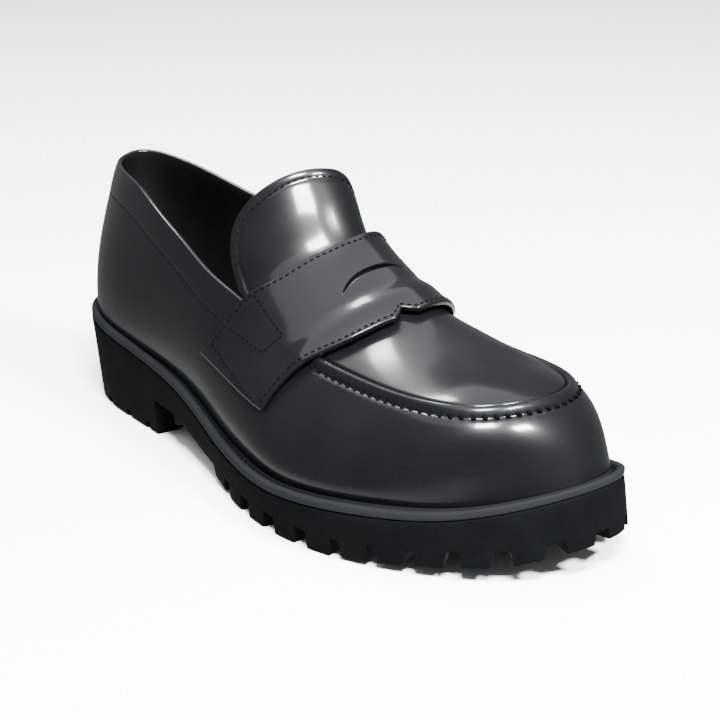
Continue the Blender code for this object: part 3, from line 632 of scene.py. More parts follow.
HEEL_BREAST = 83.0
BREAST_SLOPE = 1.6
BREAST_GAP_FLOOR = 16.4
HEEL_NOTCHES = (16.0, 35.0, 55.0, 73.0)
HEEL_NOTCH_WIDTH = 4.5
HEEL_NOTCH_SLOPE = 0.7
WAIST_COLUMNS = 6
WAIST_LENGTH = 20.0
TREAD_START = 144.0
LUG_MIDDLES = (3.0, 12.5, 22.5, 32.5, 42.0, 50.5, 58.5, 66.5, 75.5, 85.0, 95.0)
LUG_LENGTH = 9.0
LUG_SLOPE = 2.2
EDGE_LUG_DEPTH = 12.0
CENTRE_LUG_FROM = 0.27
CENTRE_LUG_SLOPE = 0.04
COLUMN_STEP = 1.6
RISING_SHARES = np.array((0, 0.12, 0.3, 0.7, 0.88))

# Roundings of the sole's side: inset and drop under the welt's ledge, then inset and rise at the
# foot of the lugs, then inset behind the edge lugs and share of the way up to the open floor
LEDGE_ROUND = ((0.9, 0.0), (0.25, 0.25), (0.0, 0.9))
SIDE_SHARES = (0.2, 0.4, 0.6, 0.8)
FOOT_HEIGHT = 1.4
FOOT_ROUND = ((0.12, 0.65), (0.5, 0.15), (1.2, 0.0))
LUG_BACK = ((-0.8, 0.0), (0.0, 0.3), (0.9, 0.85), (1.8, 1.0))


def side_columns(side):
    """Columns of one side of the tread, heel to toe: place on the edge and the floor's share of lug."""
    columns = []
    cut = math.copysign(HEEL_NOTCH_WIDTH, side)
    slope = math.copysign(HEEL_NOTCH_SLOPE, side)
    for k, s in enumerate(HEEL_NOTCHES):
        first = place_of_s(side, s)
        columns += [(first, 1), (first + slope, 0), (first + cut - slope, 0), (first + cut, 1)]
        following = HEEL_NOTCHES[k + 1] if k + 1 < len(HEEL_NOTCHES) else HEEL_BREAST
        columns.append((place_of_s(side, (s + HEEL_NOTCH_WIDTH + following) / 2 + 1), 1))
    columns.append((place_of_s(side, HEEL_BREAST), 1))
    columns.append((place_of_s(side, HEEL_BREAST + BREAST_SLOPE), 0))
    for s in np.linspace(HEEL_BREAST + BREAST_SLOPE, TREAD_START, WAIST_COLUMNS + 2)[1:-1]:
        columns.append((place_of_s(side, s), 0))
    start = place_of_s(side, TREAD_START)
    end = TOE_PLACE if side > 0 else TOE_PLACE - EDGE_LENGTH
    half = math.copysign(0.5 * LUG_LENGTH, side)
    slope = math.copysign(LUG_SLOPE, side)
    for percent in LUG_MIDDLES:
        middle = start + (end - start) * percent / 100
        columns += [(middle - half - slope, 0), (middle - half, 1), (middle, 1)]
        columns += [(middle + half, 1), (middle + half + slope, 0)]
    return columns


def fine_columns():
    """Places and lug shares all round the sole, close together and rounded at the ends of the lugs."""
    sides = [[(start, 1)] + side_columns(side) + [(end, 0)]
             for side, start, end in ((1, 0.0, TOE_PLACE), (-1, 0.0, TOE_PLACE - EDGE_LENGTH))]
    fine = ([], [])
    for k in range(len(sides[0]) - 1):
        widest = max(abs(side[k + 1][0] - side[k][0]) for side in sides)
        rising = sides[0][k][1] != sides[0][k + 1][1]
        count = max(1, round(widest / COLUMN_STEP))
        shares = RISING_SHARES if rising else np.arange(count) / count
        for side, columns in zip(sides, fine):
            (start, low), (end, high) = side[k], side[k + 1]
            for share in shares:
                columns.append((start + (end - start) * share, low + (high - low) * ease(share)))
    ring = fine[0] + [(TOE_PLACE, 0)] + fine[1][:0:-1]
    return np.array([place for place, _ in ring]), np.array([share for _, share in ring])


def tread_floor(s, share):
    """Height of the underside: lugs where the share is 1, the floor between them where it is 0."""
    lug = np.interp(s, PROFILE_ROWS[:, 0], PROFILE_ROWS[:, 2])
    gap = np.interp(s, PROFILE_ROWS[:, 0], PROFILE_ROWS[:, 3])
    waist = (s > HEEL_BREAST + 0.5 * BREAST_SLOPE) & (s < HEEL_BREAST + WAIST_LENGTH)
    gap = np.where(waist, BREAST_GAP_FLOOR - (s - HEEL_BREAST) / WAIST_LENGTH, gap)
    return np.where(share > 0.5, lug, gap)


def ring_points(places, inset, height):
    """Closed ring of points inside the sole's edge at the given heights."""
    flat = edge(places, np.broadcast_to(inset, np.shape(places)))
    return np.concatenate([flat, np.broadcast_to(height, np.shape(places))[..., None]], axis=-1)


def seat_ring(places, inset, depth):
    """Closed ring of points inside the sole's edge, at a depth under the sole's top."""
    flat = edge(places, np.broadcast_to(inset, np.shape(places)))
    return np.concatenate([flat, (seat(flat[:, 1]) - depth)[:, None]], axis=-1)


def build_outsole(finish):
    """Lugged rubber unit with rounded lugs, a heel, arch and toe spring."""
    piece = Piece("lugged_sole")
    places, share = fine_columns()
    rim_s = edge(places)[:, 1]
    ledge = seat(rim_s) - WELT_THICKNESS - CLEARANCE
    floor = tread_floor(rim_s, share)
    open_floor = tread_floor(rim_s, 0 * share)
    tuck = SEAT_CURVE(rim_s)[:, 1]

    def inset_at(height):
        return tuck * (ledge - height) / ledge

    plateau = WELT_SEAT + CLEARANCE
    rings = [seat_ring(places, plateau, depth) for depth in (0.0, WELT_THICKNESS + CLEARANCE)]
    rings += [ring_points(places, inset, ledge - drop) for inset, drop in LEDGE_ROUND]
    top, low = ledge - LEDGE_ROUND[-1][1], floor + FOOT_HEIGHT
    for down in (*SIDE_SHARES, 1.0):
        height = top + (low - top) * down
        rings.append(ring_points(places, inset_at(height), height))
    foot = inset_at(floor)
    rings += [ring_points(places, foot + inset, floor + rise) for inset, rise in FOOT_ROUND]
    for inset, share_up in LUG_BACK:
        height = floor + share_up * (open_floor - floor)
        rings.append(ring_points(places, foot + EDGE_LUG_DEPTH + inset, height))
    grid = np.array([piece.add(ring) for ring in rings])
    piece.sheet(grid, closed=True)
    cap(piece, grid[0])

    inner = rings[-1]
    half = len(places) // 2
    last = len(places)
    slope = CENTRE_LUG_SLOPE
    lower = ((0.0, 0), (CENTRE_LUG_FROM - slope, 0), (CENTRE_LUG_FROM, 1),
             (1 - CENTRE_LUG_FROM, 1), (1 - CENTRE_LUG_FROM + slope, 0), (1.0, 0))
    rows = []
    for k in range(1, half):
        left, right = inner[k], inner[last - k]
        row = [grid[-1, k]]
        for across, lug in lower[1:-1]:
            point = left + (right - left) * across
            if lug:
                point[2] = 0.5 * (floor[k] + floor[last - k])
            row.append(int(piece.add(point[None])[0]))
        row.append(grid[-1, last - k])
        rows.append(row)
    rows = np.array(rows)
    piece.sheet(rows)
    for end, row in ((grid[-1, 0], rows[0]), (grid[-1, half], rows[-1])):
        for k in range(len(row) - 1):
            piece.faces.append([end, row[k], row[k + 1]])
            piece.finishes.append(0)
    return piece.finish([finish], ["outsole"], "outsole", sharp=50)


# Welt

WELT_COLUMNS = 520
RIM_WIDTH = 3.2
RIM_FOOT = ((0.9, 0.0), (0.35, 0.15), (0.05, 0.7))
RIM_OUTER_ROUND = (1.2, 1.3)
RIM_INNER_ROUND = 0.9
WELT_GROOVE = 1.5
GROOVE_SLOPE = 0.25
GROOVE_MIN_WIDTH = 0.5
GROOVE_BACK_SLOPE = 0.4
WELT_STITCH_LIFT = 0.25


def build_welt(finish):
    """Rounded rim with a stitched groove between it and the upper."""
    piece = Piece("welt_strip")
    places = np.linspace(0, EDGE_LENGTH, WELT_COLUMNS, endpoint=False)
    reach = SEAT_CURVE(edge(places)[:, 1])[:, 2]
    section = [(inset, WELT_THICKNESS - rise) for inset, rise in RIM_FOOT]
    wide, deep = RIM_OUTER_ROUND
    for angle in np.radians((0, 22, 45, 67, 90)):
        section.append((wide - wide * math.cos(angle), deep - deep * math.sin(angle)))
    for angle in np.radians((30, 60, 90)):
        inset = RIM_WIDTH - RIM_INNER_ROUND + RIM_INNER_ROUND * math.sin(angle)
        section.append((inset, RIM_INNER_ROUND - RIM_INNER_ROUND * math.cos(angle)))
    groove_end = np.maximum(reach - GROOVE_SLOPE, RIM_WIDTH + GROOVE_MIN_WIDTH)
    section += [(RIM_WIDTH + GROOVE_SLOPE, WELT_GROOVE), (groove_end, WELT_GROOVE),
                (groove_end + GROOVE_BACK_SLOPE, 0.0), (WELT_SEAT, 0.0), (WELT_SEAT, WELT_THICKNESS)]
    grid = np.array([piece.add(seat_ring(places, inset, depth)) for inset, depth in section])
    piece.sheet(np.vstack([grid, grid[:1]]), closed=True)
    return piece.finish([finish], ["welt"], "welt", sharp=50)


def welt_stitches():
    """Line of stitches on the floor of the welt's groove."""
    places = np.linspace(0, EDGE_LENGTH, 1400)
    reach = SEAT_CURVE(edge(places)[:, 1])[:, 2]
    across = 0.5 * (RIM_WIDTH + np.maximum(reach, RIM_WIDTH + RIM_INNER_ROUND))
    points = seat_ring(places, across, WELT_GROOVE - WELT_STITCH_LIFT)
    return [stitch_points(points, np.tile((0.0, 0.0, 1.0), (len(places), 1)), WELT_STITCH)]


# Insole

# Section of the sock: gap beyond the upper's wall, and height over the sole
SOCK_SECTION = (
    (0.7, CLEARANCE),
    (0.7, INSOLE_THICKNESS - 0.8),
    (1.0, INSOLE_THICKNESS - 0.2),
    (1.8, INSOLE_THICKNESS),
    (6.0, INSOLE_THICKNESS - 0.2),
    (12.0, INSOLE_THICKNESS - 0.6),
)
SOCK_COLUMNS = 240


def build_insole(finish):
    """Sock that lies on the sole inside the upper, a little dished under the heel and ball."""
    piece = Piece("sock")
    places = np.linspace(0, EDGE_LENGTH, SOCK_COLUMNS, endpoint=False)
    wall = SEAT_CURVE(edge(places)[:, 1])[:, 2] + WALL
    grid = np.array([piece.add(seat_ring(places, wall + gap, -height)) for gap, height in SOCK_SECTION])
    piece.sheet(grid, closed=True)
    cap(piece, grid[0])
    cap(piece, grid[-1])
    return piece.finish([finish], ["insole"], "insole")


# Upper

THROAT_RIDGE = 0.566 * LENGTH
THROAT_SWEEP = 0.012 * LENGTH
SIDE_COLUMNS = 138
TOE_COLUMNS = 220
REAR_COLUMNS = 200
WALL_LEVELS = 81

# Rows of the wall by depth under its top, and of the apron by distance from its seam. Each pair of
# row counts fills the rest of the leather's side and of the lining's
RIM_DEPTHS = np.array((0.0, 0.5, 1.1, 1.9, 3.0, 4.3, 5.8, 7.4, 9.0, 10.4, 11.4, 12.0,
                       12.5, 13.0, 13.6, 14.6, 16.2))
ROLL_DISTANCES = np.array((0.35, 0.75, 1.2, 1.7, 2.3, 2.9, 3.5, 4.0, 4.4, 4.8, 5.15, 5.5,
                           5.85, 6.3, 7.0, 8.0))
LINING_DEPTHS = np.array((0.0, 4.0, 10.0))
LINING_DISTANCES = np.array((2.0, 5.0))
FALL_ROWS = (22, 12)
APRON_ROWS = (24, 10)

SETTLE_RADIUS = 17.0
SETTLE_RING = (0.4 * SETTLE_RADIUS, 1.2 * SETTLE_RADIUS)
SETTLE_FADE = 0.7 * SETTLE_RADIUS
PUCKER_PITCH = GATHERED_STITCH[0]
PUCKER_DEPTH = 0.09
PUCKER_REACH = 1.5
ROLL_CREST = 0.62
VALLEY_DEPTH = 0.45
VALLEY_WIDTH = 0.7
GROOVE_DISTANCE = 5.4
GROOVE_DEPTH = 0.8
GROOVE_WIDTH = 0.45
BAND_GROOVE = 0.14
BAND_GROOVE_WIDTH = 0.55
SWELL_FULLNESS = 0.7
LIP_HEIGHT = 0.9
LIP_STEPS = 8
UNDER_TOP = 0.97

SEAM_PLACES = np.linspace(0, EDGE_LENGTH, 2400)
SEAM_POINTS = AROUND_CURVE(SEAM_PLACES)[:, 2:5]
SEAM_ARC = np.append(0, np.cumsum(np.linalg.norm(np.diff(SEAM_POINTS, axis=0), axis=1)))


def sweep(t):
    """How far the throat's line runs ahead of its column between the seam and the ridge."""
    return THROAT_SWEEP * np.sin(np.pi * np.clip(t - 1, 0, 1))


def on_vamp(place):
    """1 beside the apron, 0 behind the strap."""
    return ahead_of(AROUND_CURVE(place)[..., 3], APRON_LINE)


def behind_strap(place):
    """1 on the quarters, 0 in front of the strap's back edge."""
    return 1 - ahead_of(AROUND_CURVE(place)[..., 3], BAND_LINE)


def pucker(place, distance):
    """Gathers that the seam's stitches pull into the leather, 0 between them and 1 at their deepest."""
    arc = np.interp(np.mod(place, EDGE_LENGTH), SEAM_PLACES, SEAM_ARC)
    wave = 0.5 + 0.5 * np.cos(2 * np.pi * arc / PUCKER_PITCH)
    return wave ** 2 * hump(distance, PUCKER_REACH)


def roll_lift(place, distance):
    """Rolled apron seam across its width: valley, crest and the stitched groove inside it."""
    over = np.clip(distance / SEAM_WIDTH, 0, 1)
    crest = SEAM_HEIGHT * np.sin(np.pi * over ** (math.log(0.5) / math.log(ROLL_CREST)))
    groove = GROOVE_DEPTH * hump(distance - GROOVE_DISTANCE, GROOVE_WIDTH)
    valley = VALLEY_DEPTH * hump(distance, VALLEY_WIDTH)
    return (crest - groove - valley - PUCKER_DEPTH * pucker(place, distance)) * on_vamp(place)


def wall_lift(place, depth):
    """Relief of the wall at a depth under the topline or seam."""
    swell = COLLAR_SWELL * np.sin(np.pi * np.clip(depth / COLLAR_BAND, 0, 1)) ** SWELL_FULLNESS
    band = swell - BAND_GROOVE * hump(depth - COLLAR_BAND, BAND_GROOVE_WIDTH)
    gather = VALLEY_DEPTH * hump(depth, VALLEY_WIDTH) + PUCKER_DEPTH * pucker(place, depth)
    return band * behind_strap(place) - gather * on_vamp(place)


def wall_rows(places, depths, fall_rows):
    """t and depth of the wall's rows: at fixed depths under its top, then evenly to the feather."""
    levels = np.linspace(1, 0, WALL_LEVELS)
    points = smooth_skin(places[:, None], levels[None])
    steps = np.linalg.norm(np.diff(points, axis=1), axis=-1)
    fallen = np.concatenate([np.zeros((len(places), 1)), np.cumsum(steps, axis=1)], axis=1)
    share = np.linspace(0, 1, fall_rows + 1)[1:]
    rest = depths[-1] + (fallen[:, -1:] - depths[-1]) * share
    wanted = np.concatenate([np.tile(depths, (len(places), 1)), rest], axis=1)
    t = np.array([np.interp(want, down, levels) for want, down in zip(wanted, fallen)])
    return t, wanted


def vamp_columns():
    """Ridge stations of the side columns, and the places of the lateral, toe, medial and rear ones."""
    stations = np.linspace(THROAT_RIDGE, RIDGE_END, SIDE_COLUMNS)
    lateral = place_of_ridge(1, stations)
    medial = place_of_ridge(-1, stations)[::-1]
    toe = np.linspace(lateral[-1], medial[0], TOE_COLUMNS)[1:-1]
    rear = np.linspace(medial[-1], lateral[0] + EDGE_LENGTH, REAR_COLUMNS)[1:-1]
    return stations, lateral, toe, medial, rear


def apron_grid(stations, lateral, toe, medial, distances, rows):
    """Place and t of the apron's points, a column for each of its places."""
    places = np.concatenate([lateral, toe, medial])
    span = apron_span(places)[:, None]
    share = np.linspace(0, 1, rows + 1)[1:-1]
    near = distances / span
    t = 1 + np.concatenate([near, near[:, -1:] + (1 - near[:, -1:]) * share], axis=1)
    fade = ((RIDGE_END - stations) / (RIDGE_END - THROAT_RIDGE))[:, None]
    count = len(stations)
    grid = np.tile(places[:, None], (1, t.shape[1]))
    grid[:count] = place_of_ridge(1, stations[:, None] + sweep(t[:count]) * fade)
    grid[-count:] = place_of_ridge(-1, stations[::-1, None] + sweep(t[-count:]) * fade[::-1])
    return grid, t


def settle_crest(points, end):
    """Ease the apron round the ridge's front end onto one smooth surface fitted to it."""
    away = np.linalg.norm(points[..., :2] - end, axis=-1)

    def terms(flat):
        x, s = ((flat - end) / SETTLE_RADIUS).T
        return np.stack([x ** 0, x, s, x * x, x * s, s * s, x ** 3, x * x * s, x * s * s, s ** 3], axis=-1)

    ring = points[(away > SETTLE_RING[0]) & (away < SETTLE_RING[1])]
    fit = np.linalg.lstsq(terms(ring[:, :2]), ring[:, 2], rcond=None)[0]
    smooth = (terms(points[..., :2].reshape(-1, 2)) @ fit).reshape(away.shape)
    points[..., 2] += (smooth - points[..., 2]) * ease((SETTLE_RADIUS - away) / SETTLE_FADE)
    return points


def build_upper(leather, lining):
    """Hollow shell of vamp, apron and quarters with its lining and rounded topline."""
    piece = Piece("leather_upper")
    stations, lateral, toe, medial, rear = vamp_columns()
    places = np.concatenate([lateral, toe, medial, rear])
    apron_count = len(places) - len(rear)
    shells = []
    for inside in (False, True):
        t, depth = wall_rows(places, LINING_DEPTHS if inside else RIM_DEPTHS, FALL_ROWS[inside])
        around = places[:, None] + 0 * t
        points = skin(around, t, -WALL + 0 * t if inside else wall_lift(around, depth))
        if inside:
            points[:, -1, 2] = seat(points[:, -1, 1]) + CLEARANCE
        wall = piece.add(points)
        distances = LINING_DISTANCES if inside else ROLL_DISTANCES
        grid, t = apron_grid(stations, lateral, toe, medial, distances, APRON_ROWS[inside])
        lift = -WALL + 0 * t if inside else roll_lift(grid, (t - 1) * apron_span(grid))
        crest = skin(lateral, np.full(len(lateral), 2.0), np.full(len(lateral), -WALL * inside))
        toe_end = np.broadcast_to(crest[-1], (len(toe), 3))
        middle = np.concatenate([crest, toe_end, crest[::-1]])
        top = np.concatenate([skin(grid, t, lift), middle[:, None]], axis=1)
        end = np.argmax(middle[:, 1])
        top = settle_crest(top, middle[end, :2])
        apron = piece.add(top[:, :-1])
        crest = piece.add(top[:len(lateral), -1])
        ends = np.concatenate([crest, np.full(len(toe), crest[-1]), crest[::-1]])
        apron = np.column_stack([wall[:apron_count, 0], apron, ends])
        piece.sheet(wall.T, closed=True, finish=int(inside))
        piece.sheet(apron.T, finish=int(inside))
        shells.append((wall, apron))
    (outer_wall, outer_apron), (inner_wall, inner_apron) = shells
    piece.sheet(np.array([outer_wall[:, -1], inner_wall[:, -1]]), closed=True)

    topline = np.arange(apron_count - 1, len(places) + 1) % len(places)
    around = places[topline]
    up = unit(smooth_skin(around, 1.0) - smooth_skin(around, UNDER_TOP))
    lip = [outer_wall[topline, 0]]
    for angle in np.linspace(0, np.pi, LIP_STEPS)[1:-1]:
        lift = np.full(len(around), WALL * (0.5 * math.cos(angle) - 0.5))
        lip.append(piece.add(skin(around, np.ones(len(around)), lift) + up * LIP_HEIGHT * math.sin(angle)))
    lip.append(inner_wall[topline, 0])
    piece.sheet(np.array(lip))
    for outer, inner in ((outer_apron[0], inner_apron[0]), (outer_apron[-1], inner_apron[-1])):
        piece.faces.append(outer.tolist() + inner[::-1].tolist())
        piece.finishes.append(1)
    return piece.finish([leather, lining], ["upper"], "upper", sharp=70)


# Strap

# Edges of the strap across the foot, as ridge stations in percent of the length.
# Columns: v, back, front
STRAP_EDGES = (
    (0.45, 49.8, 62.8),
    (0.62, 52.2, 63.6),
    (0.80, 54.1, 64.5),
    (1.00, 55.5, 65.7),
    (1.30, 56.8, 67.5),
    (1.60, 56.0, 68.2),
    (2.00, 55.1, 68.7),
    (2.40, 56.0, 68.3),
    (2.70, 56.8, 67.5),
    (3.00, 55.5, 65.7),
    (3.20, 54.1, 64.5),
    (3.38, 52.2, 63.6),
    (3.55, 49.8, 62.8),
)
STRAP_CURVE = Curve(np.array(STRAP_EDGES)[:, 0], np.array(STRAP_EDGES)[:, 1:] * LENGTH / 100)
STRAP_LOW = (0.45, 0.48)
STRAP_LIFT = 1.9
NOTCH_MIDDLE = 1.87
NOTCH_SPAN = 0.13
NOTCH_DEPTH = 0.014 * LENGTH
SLOT_MIDDLE = 1.93
SLOT_HALF_SPAN = 0.31
SLOT_BOW = 0.023 * LENGTH
SLOT_BOW_SPAN = 0.37
SLOT_SHARE = 0.52
SLOT_HALF_WIDTH = 0.9
SLOT_END_WIDTH = 0.04
SLOT_ENDS = (1.62, 2.24)
STRAP_ROUND = 0.9
LIP_ROUND = 0.55
EDGE_STEPS_MM = np.array((0.0, 0.12, 0.32, 0.62, 1.1, 1.8))
WING_LENGTH = 26.0
WING_STEPS = 40
BACK_WIDTH = 17.0
BACK_STEPS = 12
FRONT_WIDTH = 14.0
FRONT_STEPS = 10
SADDLE_STEPS = (46, 60, 50)
SADDLE_COLUMNS = spaced((1.0, SLOT_ENDS[0], SADDLE_STEPS[0]), (*SLOT_ENDS, SADDLE_STEPS[1]),
                        (SLOT_ENDS[1], 3.0, SADDLE_STEPS[2]))
SLOT_COLUMNS = (SADDLE_STEPS[0], SADDLE_STEPS[0] + SADDLE_STEPS[1])
DISTANCE_BATCH = 800


def strap_line(share, v):
    """Ridge station of a line along the strap, from its back edge (0) to its front edge (1)."""
    back, front = np.moveaxis(STRAP_CURVE(v), -1, 0)
    notch = NOTCH_DEPTH * np.clip(1 - np.abs(v - NOTCH_MIDDLE) / NOTCH_SPAN, 0, 1) ** 1.5
    return back + (front - notch - back) * share


def slot_line(lip, v):
    """Ridge station of the coin slot's back (-1) or front (1) lip."""
    back, front = np.moveaxis(STRAP_CURVE(v), -1, 0)
    bow = SLOT_BOW * np.clip(1 - ((v - SLOT_MIDDLE) / SLOT_BOW_SPAN) ** 2, 0, 1)
    width = SLOT_END_WIDTH + SLOT_HALF_WIDTH * np.clip(1 - ((v - SLOT_MIDDLE) / SLOT_HALF_SPAN) ** 2, 0, 1)
    return back + (front - back) * SLOT_SHARE - bow + lip * width


def strap_rise(place):
    """Height of the strap's underside over the upper, which grows where it crosses the rolled seam."""
    return CLEARANCE + STRAP_LIFT * ahead_of(AROUND_CURVE(place)[..., 3], CROSSING_LINE)


def rounded(distance, radius):
    """Drop of a leather edge that is rounded off over the radius."""
    over = np.clip(distance / radius, 0, 1)
    return radius * (1 - np.sqrt(np.clip(1 - (1 - over) ** 2, 0, 1)))


def fine_shares(width, steps):
    """Shares from 0 to 1 across a width in millimetres, close together at both ends."""
    near = EDGE_STEPS_MM / width
    return np.concatenate([near[:-1], np.linspace(near[-1], 1 - near[-1], steps), 1 - near[-2::-1]])


def strap_grid():
    """Ridge stations and v of the strap's points, the number of its back rows and of a wing's columns."""
    wing = fine_shares(2 * WING_LENGTH, WING_STEPS)
    wing = wing[wing <= 0.5] * 2
    stations, levels = [], []
    back, front = fine_shares(BACK_WIDTH, BACK_STEPS), fine_shares(FRONT_WIDTH, FRONT_STEPS)
    for lip, row_shares in ((-1, back), (1, front)):
        for share in row_shares:
            low = STRAP_LOW[0] + (STRAP_LOW[1] - STRAP_LOW[0]) * (share if lip < 0 else 1 + share) / 2
            lateral = low + (1 - low) * wing[wing < 1]
            v = np.concatenate([lateral, SADDLE_COLUMNS, 4 - lateral[::-1]])
            start = strap_line(0.0, v) if lip < 0 else slot_line(lip, v)
            end = slot_line(lip, v) if lip < 0 else strap_line(1.0, v)
            stations.append(start + (end - start) * share)
            levels.append(v)
    return np.array(stations), np.array(levels), len(back), len(lateral)


def build_strap(leather):
    """Saddle strap over the instep, with its coin slot and the notch in its front edge."""
    piece = Piece("saddle_strap")
    station, v, back_rows, wing_columns = strap_grid()
    place, t = on_last(v, station)
    base, normal, rise = skin(place, t), skin_normal(place, t), strap_rise(place)
    first, last = [wing_columns + column for column in SLOT_COLUMNS]
    outline = np.concatenate([base[0], base[-1], base[:, 0], base[:, -1]])
    lips = base[back_rows - 1:back_rows + 1, first:last].reshape(-1, 3)
    drop = np.maximum(rounded(distance_to(base, outline), STRAP_ROUND),
                      rounded(distance_to(base, lips), LIP_ROUND))
    outer = piece.add(base + normal * (rise + STRAP_THICKNESS - drop)[..., None])
    inner = piece.add(base + normal * rise[..., None])
    kept = np.ones(np.subtract(outer.shape, 1), bool)
    kept[back_rows - 1, first:last] = False
    piece.shell(outer, inner, kept)
    return piece.finish([leather], ["strap"], "strap", sharp=60)


def distance_to(points, line):
    """Distance of each point to the nearest point of a line."""
    flat = points.reshape(-1, 3)
    near = [np.min(np.linalg.norm(line[None] - part[:, None], axis=-1), axis=1)
            for part in np.array_split(flat, max(1, len(flat) // DISTANCE_BATCH))]
    return np.concatenate(near).reshape(points.shape[:-1])


def strap_path(start, end):
    """Line over the strap between two points given as share across it and v."""
    share, v = np.linspace(start, end, 240).T
    place, t = on_last(v, strap_line(share, v))
    return skin(place, t, strap_rise(place) + STRAP_THICKNESS), skin_normal(place, t)


# Tongue

# The tongue's outline across the foot, as ridge stations in percent of the length.
# Columns: v, end
TONGUE_OUTLINE = (
    (1.00, 54.4),
    (1.13, 51.1),
    (1.27, 48.9),
    (1.45, 47.8),
    (1.70, 47.6),
    (2.00, 48.5),
    (2.25, 50.0),
    (2.50, 51.6),
    (2.75, 54.0),
    (3.00, 57.6),
)
TONGUE_CURVE = Curve(np.array(TONGUE_OUTLINE)[:, 0], np.array(TONGUE_OUTLINE)[:, 1:] * LENGTH / 100)
TONGUE_UNDER = 0.605 * LENGTH
TONGUE_RISE = 1.5
RISE_START = 0.555 * LENGTH
RISE_LENGTH = 0.045 * LENGTH
TONGUE_FREE = (1.08, 0.25)
TONGUE_WIDTH = 76.0
TONGUE_STEPS = (110, 70)
TONGUE_ROUND = 0.8
TONGUE_BAND = 4.2
BAND_SEAM = (0.35, 0.9)
BAND_PUFF = (0.15, 1.6)

TONGUE_STITCH_SINK = 0.2
SEAM_STEPS = 600

# The stitched line inside the tongue's band. Columns: v, ridge station in percent of the length
TONGUE_SEAM = (
    (1.13, 55.2),
    (1.17, 52.4),
    (1.25, 50.2),
    (1.35, 49.1),
    (1.50, 48.6),
    (1.70, 48.4),
    (2.00, 49.3),
    (2.25, 50.8),
    (2.50, 52.4),
    (2.70, 54.7),
    (2.83, 57.5),
)


def tongue_depth(v, station):
    """Depth of the tongue under the last, which lessens where it comes out from under the strap."""
    start, span = TONGUE_FREE
    free = ease((RISE_START - station) / RISE_LENGTH) * ease((np.minimum(v, 4 - v) - start) / span)
    return WALL + 2 * CLEARANCE - TONGUE_RISE * free


def build_tongue(leather):
    """Curved flap with a soft stitched band round its edge."""
    piece = Piece("tongue_flap")
    v = 1 + 2 * fine_shares(TONGUE_WIDTH, TONGUE_STEPS[0])[None]
    share = fine_shares(TONGUE_WIDTH, TONGUE_STEPS[1])[:, None]
    under = TONGUE_UNDER + sweep(np.minimum(v, 4 - v))
    station = under + (TONGUE_CURVE(v)[..., 0] - under) * share
    place, t = on_last(v, station)
    normal = skin_normal(place, t)
    face = skin(place, t) - normal * tongue_depth(v, station)[..., None]
    away = distance_to(face, np.concatenate([face[:, 0], face[-1], face[:, -1]]))
    drop = rounded(away, TONGUE_ROUND)
    seam = BAND_SEAM[0] * hump(away - TONGUE_BAND, BAND_SEAM[1])
    puff = BAND_PUFF[0] * hump(away - TONGUE_BAND / 2, BAND_PUFF[1]) - seam
    outer = piece.add(face + normal * (puff - drop)[..., None])
    inner = piece.add(face - normal * (TONGUE_THICKNESS - 0.5 * drop)[..., None])
    piece.shell(outer, inner, np.ones(np.subtract(outer.shape, 1), bool))
    return piece.finish([leather], ["tongue"], "tongue", sharp=60)


def tongue_stitches():
    """Stitched line inside the tongue's band."""
    knots, stations = np.array(TONGUE_SEAM).T
    v = np.linspace(knots[0], knots[-1], SEAM_STEPS)
    station = Curve(knots, stations[:, None] * LENGTH / 100)(v)[..., 0]
    place, t = on_last(v, station)
    points = skin(place, t, -TONGUE_STITCH_SINK - tongue_depth(v, station))
    return [stitch_points(points, skin_normal(place, t), TONGUE_STITCH)]


# Seams of the upper

COLLAR_SEAM_END = 0.46 * LENGTH
COLLAR_SEAM_STEPS = 900
COLLAR_STITCH_LIFT = 0.05
APRON_SEAM_START = 0.655 * LENGTH
APRON_SIDE_STEPS = 200
APRON_TOE_STEPS = 500
APRON_STITCH_LIFT = 0.2
GATHERED_DISTANCE = 0.3
GATHERED_LIFT = 0.30


def collar_stitches():
    """Line under the collar band, from one wing of the strap round the heel to the other."""
    start, end = place_of_s(-1, COLLAR_SEAM_END), place_of_s(1, COLLAR_SEAM_END)
    places = np.linspace(start, end, COLLAR_SEAM_STEPS)
    t, depth = wall_rows(places, np.array((0.0, COLLAR_BAND)), 1)
    lift = wall_lift(places, depth[:, 1]) + COLLAR_STITCH_LIFT
    return [stitch_points(skin(places, t[:, 1], lift), skin_normal(places, t[:, 1]), COLLAR_STITCH)]


def seam_line(distance, lift):
    """Line round the apron at a distance inside its seam, as points and normals."""
    stations = np.linspace(APRON_SEAM_START, RIDGE_END, APRON_SIDE_STEPS)
    lateral = place_of_ridge(1, stations)
    medial = place_of_ridge(-1, stations)[::-1]
    toe = np.linspace(lateral[-1], medial[0], APRON_TOE_STEPS)[1:-1]
    places = np.concatenate([lateral, toe, medial])
    t = 1 + distance / apron_span(places)
    return skin(places, t, roll_lift(places, np.full(len(places), distance)) + lift), skin_normal(places, t)


def apron_stitches():
    """Fine stitches in the groove inside the roll."""
    return [stitch_points(*seam_line(GROOVE_DISTANCE, APRON_STITCH_LIFT), APRON_STITCH)]


def gathered_stitches():
    """Heavy stitches that gather the vamp to the apron, spaced as the puckers are."""
    line = seam_line(GATHERED_DISTANCE, GATHERED_LIFT)
    return [stitch_points(*line, GATHERED_STITCH, turn=GATHERED_TURN)]


# Sewn lines along the strap, and those of its lateral half, which its medial half mirrors. Each goes
# from one (share across the strap, v) to the next
STRAP_ROWS = (((0.045, 0.60), (0.045, 3.40)), ((0.95, 0.52), (0.95, 3.48)))
WING_BOX = ((0.05, 1.11), (0.57, 1.05), (0.59, 0.85), (0.10, 0.80))
WING_EDGE = ((0.06, 0.60), (0.92, 0.50))


